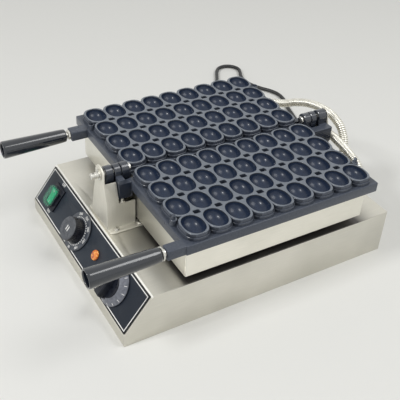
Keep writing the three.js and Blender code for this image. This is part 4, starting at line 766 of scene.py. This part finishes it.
# Cast moulds
# Two aluminium castings under a dark non-stick coat. Each has 36 oval cups whose rims run together,
# hinge lugs at both ends, an arm for its handle, and locating pins on one half with sockets on the other.
row_pitch, column_pitch = 38.08, 30
first_row, rows, columns = 24, 4, 9
opening_x, opening_y, opening_power = 17.3, 13.2, 2.2
rim_wall, rim_power, rim_top = 2.6, 2.7, 142.8
plate_bottom, plate_top, plate_outer, plate_half = 120.4, 134, 162, 141.5
bowl_depth = 12.5
foot_top, foot_step = 138.4, 1.2


def oval(half_x, half_y, power, z, sides=48):
    return [Vector((x, y, z)) * mm for x, y in squared_oval(half_x, half_y, power, sides, 0.5)]


def cup_wall():
    """The outside of one cup, from its wide foot to the rounded edge of its rim."""
    profile = [(foot_step, 132), (foot_step, foot_top - 0.5), (foot_step - 0.5, foot_top), (0, foot_top)]
    profile += [(0, rim_top - 1.3), (-0.4, rim_top - 0.5), (-1.1, rim_top)]
    rings = []
    for grow, z in profile:
        wide = rim_wall + grow
        rings.append(oval(opening_x + wide, opening_y + wide, rim_power, z))
    return lofted("cup_wall", rings)


def cup_bowl():
    """The hollow of one cup: a rounded lip and a deep oval bowl."""
    rings = []
    for grow, z in ((0.6, rim_top + 2), (0.6, rim_top), (0.3, rim_top - 0.2), (0.1, rim_top - 0.7)):
        rings.append(oval(opening_x + grow, opening_y + grow, opening_power, z))
    for k in range(1, 13):
        turn = math.radians(7.4 * k)
        scale = math.cos(turn) ** 0.9
        depth = 0.7 + (bowl_depth - 0.7) * math.sin(turn)
        rings.append(oval(opening_x * scale, opening_y * scale, opening_power, rim_top - depth))
    return lofted("cup_bowl", rings)


def cup_pit():
    """The small pit that is left where four rims meet."""
    rings = []
    lip = (3.7, 4.7)
    sections = [(*lip, rim_top + 2), (*lip, rim_top), (3.2, 4.2, rim_top - 0.7), (2.9, 3.9, 138)]
    for half_x, half_y, z in sections:
        rings.append(oval(half_x, half_y, 6, z, 20))
    return lofted("cup_pit", rings)


def scattered(name, mesh, places):
    """Copies of a mesh at places given as millimetres, joined as one mesh."""
    points = bpy.data.meshes.new(name)
    points.from_pydata([Vector((x, y, 0)) * mm for x, y in places], [], [])
    source = smooth_object(name, mesh)
    made = grown(name, points, scatter, Piece=source, Finish=None)
    bpy.data.objects.remove(source)
    return made


def span(end, near, far):
    """Two distances from the middle of the moulds as places along Y, in rising order."""
    return sorted((centre_y + end * near, centre_y + end * far))


def ring_knuckle(end, near, far):
    profile = [(4.2, near), (8.2, near), (9, near + 0.8), (9, far - 0.8), (8.2, far), (4.2, far), (4.2, near)]
    return turned("knuckle", profile, (0, end, 0), hinge_line, 48)


cup_places = []
pit_places = []
for row in range(rows):
    for column in range(columns):
        x = first_row + row * row_pitch
        y = centre_y + (column - (columns - 1) / 2) * column_pitch
        cup_places.append((x, y))
        if row < rows - 1 and column < columns - 1:
            pit_places.append((x + row_pitch / 2, y + column_pitch / 2))

plate_y = (centre_y - plate_half, centre_y + plate_half)
single_lug, fork_inner = (149.6, 158.4), (138.4, 148.6)
fork_outer = {-1: (160.2, 170.4), 1: (163, 176.6)}
lug_root, lug_bottom = 140.5, 111
locator_x = first_row + (rows - 1.5) * row_pitch
locator_inset = 5.6


def cast_half(arm_x, arm_half, fork_end, pins):
    """One casting, drawn at +X: plate, cups, lugs, arm and locators."""
    body = slab("plate", (2, plate_outer), plate_y, (plate_bottom, plate_top), 1.1, 3)
    web_y = (columns - 1) / 2 * column_pitch
    web_x = (first_row, first_row + (rows - 1) * row_pitch)
    parts = [
        scattered("even_cups", cup_wall(), cup_places[0::2]),
        scattered("odd_cups", cup_wall(), cup_places[1::2]),
        slab("web", web_x, (centre_y - web_y, centre_y + web_y), (132, rim_top)),
    ]
    for part in parts:
        body = carve(body, part, "UNION")
    body = carve(body, scattered("bowls", cup_bowl(), cup_places))
    body = carve(body, scattered("pits", cup_pit(), pit_places))
    for end in (-1, 1):
        body = carve(body, slab("notch", (0, 11), span(end, 134.3, 144), (118, 143)))
    single = -fork_end
    outer = fork_outer[fork_end]
    single_span = span(single, *single_lug)
    lugs = [
        slab("lug", (-8, 20), single_span, (lug_bottom, 140), 1.6),
        slab("tie", (11.3, 20), span(single, lug_root, 158), (111.4, 133.6), 0.5),
        slab("neck", (-8, 8), single_span, (129, 140), 0.5),
        ring_knuckle(single, *single_lug),
        slab("fork", (11, 24), span(fork_end, lug_root, outer[1]), (lug_bottom, plate_top), 1.4),
    ]
    for reach in (fork_inner, outer):
        lugs.append(slab("neck", (-8, 8), span(fork_end, *reach), (130, 140), 0.5))
        lugs.append(slab("bridge", (4, 23), span(fork_end, *reach), (130, plate_top), 0.5))
        lugs.append(ring_knuckle(fork_end, *reach))
    arm_y = (plate_y[0] - 23.2, plate_y[0] + 6)
    lugs.append(slab("arm", (arm_x - arm_half, arm_x + arm_half), arm_y, (plate_bottom, plate_top), 1.5, 3))
    upright = (0, 0, 1)
    boss_profile = [(0, 133), (4.6, 133), (4.6, 141.9), (4, 142.5), (0, 142.5)]
    pin_profile = [(0, 140), (2.6, 140), (2.6, 147.4), (1.4, 148.8), (0, 148.8)]
    socket_profile = [(0, 134.8), (3.6, 134.8), (3.6, 142), (4.1, 142.8), (0, 144)]
    bore_profile = [(0, 133), (4.3, 133), (4.3, 180), (0, 180)]
    cuts = []
    for end in (-1, 1):
        at = Vector((locator_x, centre_y + end * (plate_half - locator_inset), 0)) * mm
        lugs.append(turned("boss", boss_profile, upright, at, 32))
        if pins:
            lugs.append(turned("pin", pin_profile, upright, at, 24))
        cuts.append(turned("bore", bore_profile, (0, end, 0), hinge_line, 32))
        if not pins:
            cuts.append(turned("socket", socket_profile, upright, at, 24))
    for lug in lugs:
        body = carve(body, lug, "UNION")
    for cutter in cuts:
        body = carve(body, cutter)
    return body


coating = Finish("cast_coating", (0.030, 0.036, 0.052), 0.34, coat=0.15, shine=0.3)
coating.hold({"Coat Roughness": 0.1})
coat_speck = coating.grain(420, 4)
coat_cloud = coating.grain(24, 3)
from_hinge = coating.along("X").size()
from_middle = (coating.along("Y") - centre_y * mm).size()
height = coating.along("Z")
cup_u = (from_hinge - first_row * mm).math("PINGPONG", row_pitch / 2 * mm) * (1 / (opening_x * mm))
cup_v = from_middle.math("PINGPONG", column_pitch / 2 * mm) * (1 / (opening_y * mm))
cup_field = cup_u.power(opening_power) + cup_v.power(opening_power)
among_cups = from_hinge.above(5 * mm) * from_hinge.below(157 * mm) * from_middle.below(134.9 * mm)
in_bowl = cup_field.below(0.985) * height.above(129 * mm) * among_cups
on_wall = height.above((plate_top + 0.4) * mm) * among_cups
on_rim = height.above((rim_top - 0.45) * mm) * among_cups
coat_plain = coating.tones(coat_speck, (0.056, 0.066, 0.090), (0.078, 0.090, 0.118))
# Painted shade: the cups' outer walls and the hinge knuckles take a darker tone than the plain coat.
coat_wall_shade = coating.tones(coat_speck, (0.024, 0.030, 0.045), (0.038, 0.045, 0.062))
# Painted shade: the inside of the bowls is darker than the plain coat.
coat_bowl_shade = coating.tones(coat_speck, (0.012, 0.022, 0.050), (0.021, 0.035, 0.072))
# Painted highlight: the rims' tops are lighter than the plain coat.
coat_rim_highlight = coating.tones(coat_speck, (0.138, 0.157, 0.188), (0.185, 0.207, 0.245))
# Painted shade: the lugs' sides below their tops are nearly black.
lug_shade_mask = from_middle.above(141.8 * mm) * from_hinge.below(24.5 * mm) * height.below(133.5 * mm)
on_knuckle = from_middle.above(136 * mm) * from_hinge.below(9.5 * mm)
coat_side = coating.mix(on_wall + on_knuckle, coat_plain, coat_wall_shade)
coat_outside = coating.mix(on_rim, coating.mix(lug_shade_mask, coat_side, (0.012, 0.018, 0.034)), coat_rim_highlight)
coating.drive(
    colour=coating.mix(in_bowl, coat_outside, coat_bowl_shade),
    roughness=coating.between(coat_cloud, 0.26, 0.38),
    coat=on_knuckle * 0.85 + 0.15,
)
coating.bump(coat_speck, 0.00003, 0.6)

arm_places = {"near": 153, "far": -128.5}
near_cast = cast_half(arm_places["near"], 7.5, 1, True)
far_cast = cast_half(-arm_places["far"], 8.5, -1, False)
far_cast.transform(Matrix.Diagonal((-1, 1, 1, 1)))
far_cast.flip_normals()
for half, mesh in (("near", near_cast), ("far", far_cast)):
    piece(f"{half}_casting", mesh, f"{half}_half", coating, f"{half}_mould")
    for face in mesh.polygons:
        if abs(face.normal.z) > 0.9999:
            face.use_smooth = False

# Heater covers
# Each mould's element and blanket hang under it in a drawn stainless steel box with soft corners.
# The shade of the boxes' ends is painted: dusky on the near half beside the hinge, paler away from it.
# Painted light: the covers' steel is made much lighter than the base's.
cover = brushed_sheet("brushed_cover", "Y", level=1.36)
cover_end = (cover.along("Y") - cover_middle).size().above(cover_reach - 1.2 * mm)
cover_across = cover.spread(cover.along("X"), -0.14, 0.14)
pale_end, dusky_end = (0.80, 0.785, 0.72), (0.37, 0.365, 0.33)
end_shade = cover.ramp(cover_across, (0.4, pale_end), (0.5, dusky_end), (0.62, dusky_end), (1.0, pale_end))
cover.drive(colour=cover.mix(cover_end, cover.steel, end_shade))
sheath = Finish("element_sheath", (0.20, 0.21, 0.22), 0.42, 0.85)
sheath.speckle(380, 4, (0.12, 0.11, 0.10), (0.27, 0.27, 0.28))
wool = Finish("mineral_wool", (0.62, 0.58, 0.46), 0.95)
wool.bump(wool.speckle(320, 6, (0.48, 0.44, 0.33), (0.70, 0.66, 0.55), stretch=(1, 6, 1)), 0.0008)
for half in ("near", "far"):
    rounded_copy(f"{half}_heater_box", f"{half}_cover", 0.5 * mm, f"{half}_half", cover, angle=20)
    coat_nodes(sheath, f"{half}_element")
    coat_nodes(wool, f"{half}_blanket")
    coat_nodes(plated, f"{half}_front_stop", f"{half}_rear_stop")

# Handles
# A turned phenolic grip with a hollow end screws on a stud in each mould's arm.
# The near grip seats on a polished ferrule, and the far stud has a lock nut at the arm.
phenolic = Finish("phenolic", (0.014, 0.015, 0.017), 0.16, coat=0.8)
phenolic_tones = (0.008, 0.011, 0.018), (0.020, 0.026, 0.038)
phenolic.speckle(45, 5, *phenolic_tones, (0.12, 0.24), (0.35, 0.75), (1, 0.25, 1))
grip_root, grip_tip, grip_z, hollow_floor = 171, 260, 128, 236.4
grip_profile = [(4.3, grip_root), (7.6, grip_root), (8.9, 172.4), (9.4, 180), (11.9, 257.6), (11.4, grip_tip)]
grip_profile += [(9.8, grip_tip), (9.2, 258.6), (8.4, hollow_floor), (4.3, hollow_floor), (4.3, grip_root)]
grip_outline = rounded_profile(grip_profile, 0.7, 3)
core_profile = [(0, 201.4), (4.1, 201.4), (4.1, 236.6), (0, 236.6)]
stud_profile = rounded_profile([(0, 148.9), (4, 148.9), (4, 200.8), (0, 200.8)], 0.5)
ferrule_profile = [(4.4, 165.5), (4.9, 165.5), (4.9, 168.0), (8.6, 168.1), (9.0, 168.8), (8.8, 170.2)]
ferrule_profile += [(7.8, 170.8), (4.4, 170.8), (4.4, 165.5)]
nut_profile = [(4.4, 165), (6.2, 165), (6.8, 165.5), (6.8, 167.9), (6.2, 168.4), (4.4, 168.4), (4.4, 165)]


def on_handle(half, name, profile, sides, finish, *replaced):
    """A turned piece on the line of a half's handle, which points to the front."""
    at = Vector((arm_places[half], centre_y, grip_z)) * mm
    piece(name, turned(name, profile, (0, -1, 0), at, sides), f"{half}_half", finish, *replaced)


for half in ("near", "far"):
    on_handle(half, f"{half}_handle", grip_outline, 56, phenolic, f"{half}_grip")
    on_handle(half, f"{half}_handle_core", core_profile, 24, phenolic)
    on_handle(half, f"{half}_handle_stud", stud_profile, 32, plated, f"{half}_stud")
on_handle("near", "near_handle_ferrule", ferrule_profile, 48, plated, "near_ferrule")
on_handle("far", "far_handle_nut", nut_profile, 6, plated, "far_lock_nut")

# Conduits
# Each half's wires run in a ribbed metal hose from the rear of its cover to a gland on the base.
# The hose is crimped from one strip, so its crests stand a rib apart.
hose_tree, hose_in, hose_out = node_tree(
    "ribbed_hose",
    ("Ribs", "NodeSocketInt"),
    ("Crest", "NodeSocketFloat"),
    ("Valley", "NodeSocketFloat"),
    ("Finish", "NodeSocketMaterial"),
)
points_per_rib = 6


def hose_node(kind, settings=None, inputs=None):
    return add_node(hose_tree, kind, settings, inputs)


def hose_math(operation, first, second=0.0):
    return hose_node("ShaderNodeMath", {"operation": operation}, {0: first, 1: second})


route = hose_node("GeometryNodeMeshToCurve", inputs={"Mesh": hose_in.outputs["Geometry"]})
route = hose_node("GeometryNodeCurveSplineType", {"spline_type": "CATMULL_ROM"}, {"Curve": route})
route = hose_node("GeometryNodeSetSplineResolution", inputs={"Geometry": route, "Resolution": 24})
count = hose_math("ADD", hose_math("MULTIPLY", hose_in.outputs["Ribs"], points_per_rib), 1)
route = hose_node("GeometryNodeResampleCurve", inputs={"Curve": route, "Count": count})
step = hose_math("FRACT", hose_math("DIVIDE", hose_node("GeometryNodeInputIndex"), points_per_rib))
dip = hose_math("POWER", hose_math("ABSOLUTE", hose_math("SUBTRACT", hose_math("MULTIPLY", step, 2), 1)), 4)
drop = hose_math("SUBTRACT", hose_in.outputs["Crest"], hose_in.outputs["Valley"])
hose_radius = hose_math("SUBTRACT", hose_in.outputs["Crest"], hose_math("MULTIPLY", drop, dip))
stored = {"Geometry": route, "Name": "valley", "Value": dip}
route = hose_node("GeometryNodeStoreNamedAttribute", inputs=stored)
section = hose_node("GeometryNodeCurvePrimitiveCircle", inputs={"Resolution": 20, "Radius": 1.0})
hose_skin = hose_node(
    "GeometryNodeCurveToMesh",
    inputs={"Curve": route, "Profile Curve": section, "Scale": hose_radius, "Fill Caps": True},
)
hose_skin = hose_node("GeometryNodeRealizeInstances", inputs={"Geometry": hose_skin})
painted = {"Geometry": hose_skin, "Material": hose_in.outputs["Finish"]}
hose_tree.links.new(hose_node("GeometryNodeSetMaterial", inputs=painted), hose_out.inputs["Geometry"])

hose_metal = Finish("conduit", (0.62, 0.58, 0.47), 0.28, 0.85)
hose_tarnish = hose_metal.grain(120, 4)
hose_crest = hose_metal.tones(hose_tarnish, (0.76, 0.74, 0.67), (0.93, 0.92, 0.86))
# Painted shade: the valleys between the ribs are darkened.
valley_shade_mask = hose_metal.node("ShaderNodeAttribute", {"attribute_name": "valley"}, output="Fac")
hose_metal.drive(
    colour=hose_metal.mix(valley_shade_mask, hose_crest, (0.16, 0.14, 0.10)),
    roughness=hose_metal.between(hose_tarnish, 0.22, 0.4),
)
gland_reach, hose_lead = 8.6, 14.9
far_gland, far_seat = (-132, 151.7, 97.55), (53, 188.5, 66.7)
near_gland, near_seat = (106, 151.7, 97.55), (-44, 188.5, 66.7)
far_route = [(-133, 178, 97.8), (-131, 189.5, 98.3), (-124.5, 198.5, 99.3), (-112, 206, 102)]
far_route += [(-101, 210.3, 107.2), (-89.5, 213.8, 113.3), (-68.3, 216.7, 122.3), (-45.3, 217.5, 129)]
far_route += [(-26.9, 217.5, 132), (-10.7, 217.3, 132.6), (3.8, 216.6, 130.1), (17.5, 215.2, 125.7)]
far_route += [(26.4, 214.5, 116.8), (30.5, 214, 112.1), (35.5, 211.5, 105), (41.5, 206.5, 99.5)]
far_route += [(47.5, 200, 95), (51.3, 194, 90), (52.8, 190, 85)]
near_route = [(105.5, 175, 99.5), (102, 183, 103), (94, 188, 107.5), (85, 190.5, 111)]
near_route += [(76.2, 191.3, 112.8), (66.4, 193, 113.8), (51, 196, 114.7), (40, 198.3, 114.2)]
near_route += [(30.1, 200.5, 113.5), (18, 203.2, 112.6), (4, 204.3, 111), (-10, 204.3, 108.5)]
near_route += [(-22, 203, 104.5), (-32, 200, 98.5), (-39.5, 195.5, 91.5), (-43, 191, 86)]
for half, gland, seat, route_mm, ribs, fixed, loose in (
    ("far", far_gland, far_seat, far_route, 96, -100, 40),
    ("near", near_gland, near_seat, near_route, 76, 90, -30),
):
    x, y, z = gland
    route_points = [(x, y + gland_reach, z), (x, y + hose_lead, z), *route_mm]
    x, y, z = seat
    route_points += [(x, y, z + hose_lead), (x, y, z + gland_reach)]
    route_edges = [(i, i + 1) for i in range(len(route_points) - 1)]
    line = bpy.data.meshes.new("hose_route")
    line.from_pydata([Vector(p) * mm for p in route_points], route_edges, [])
    measures = {"Ribs": ribs, "Crest": 6.3 * mm, "Valley": 5.2 * mm}
    hose = grown("hose", line, hose_tree, **measures, Finish=hose_metal.material)
    made = smooth_object(f"{half}_hose", hose)
    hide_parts(f"{half}_conduit")
    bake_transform(made)

gland_profile = [(4, -4), (6, -4), (6, 0.4), (9, 0.4), (9, 7.4), (8.2, 8.3), (4, 8.3), (4, -4)]
gland_nut = [(5, 0.3), (9.4, 0.3), (10, 0.8), (10, 3.8), (9.4, 4.3), (5, 4.3), (5, 0.3)]
for name, at, axis, body in (
    ("far_cover_gland", far_gland, (0, 1, 0), "far_half"),
    ("near_cover_gland", near_gland, (0, 1, 0), "near_half"),
    ("far_base_gland", far_seat, (0, 0, 1), "base"),
    ("near_base_gland", near_seat, (0, 0, 1), "base"),
):
    cap = turned("gland", rounded_profile(gland_profile, 0.35, 2), axis, Vector(at) * mm, 40)
    fitting = carve(cap, turned("nut", gland_nut, axis, Vector(at) * mm, 6), "UNION")
    piece(f"{name}_fitting", fitting, body, plated, name)

# Studio
# A pale counter that keeps the iron's shadow, a pale surround and two lamps, in front and behind.
floor_mesh = bpy.data.meshes.new("counter")
floor_mesh.from_pydata([(-6, -6, 0), (6, -6, 0), (6, 6, 0), (-6, 6, 0)], [], [(0, 1, 2, 3)])
floor = placed("counter", floor_mesh)
counter = Finish("counter", (0.83, 0.83, 0.81), 0.6, shine=0.2)
floor.data.materials.append(counter.material)

world = bpy.data.worlds.new("surround")
bpy.context.scene.world = world
world.use_nodes = True
surround = world.node_tree.nodes["Background"]
surround.inputs["Color"].default_value = (0.90, 0.90, 0.87, 1)
ray = world.node_tree.nodes.new("ShaderNodeLightPath")
level = 0.5
for kind in ("Is Camera Ray", "Is Glossy Ray", "Is Transmission Ray"):
    pair = {0: ray.outputs[kind], 1: level}
    level = add_node(world.node_tree, "ShaderNodeMath", {"operation": "MAXIMUM"}, pair)
world.node_tree.links.new(level, surround.inputs["Strength"])
lamp_target = Vector((0, 0, 0.1))
for name, place, size, power in (
    ("key_light", (0.0, -1.55, 1.65), 0.4, 17),
    ("top_light", (0.79, 0.85, 1.95), 1.0, 15),
):
    lamp = placed(name, bpy.data.lights.new(name, "AREA"))
    lamp.data.size = size
    lamp.data.energy = power
    lamp.location = place
    lamp.rotation_mode = "QUATERNION"
    lamp.rotation_quaternion = (lamp_target - Vector(place)).to_track_quat("-Z", "Y")

bpy.context.scene.view_settings.view_transform = "Standard"
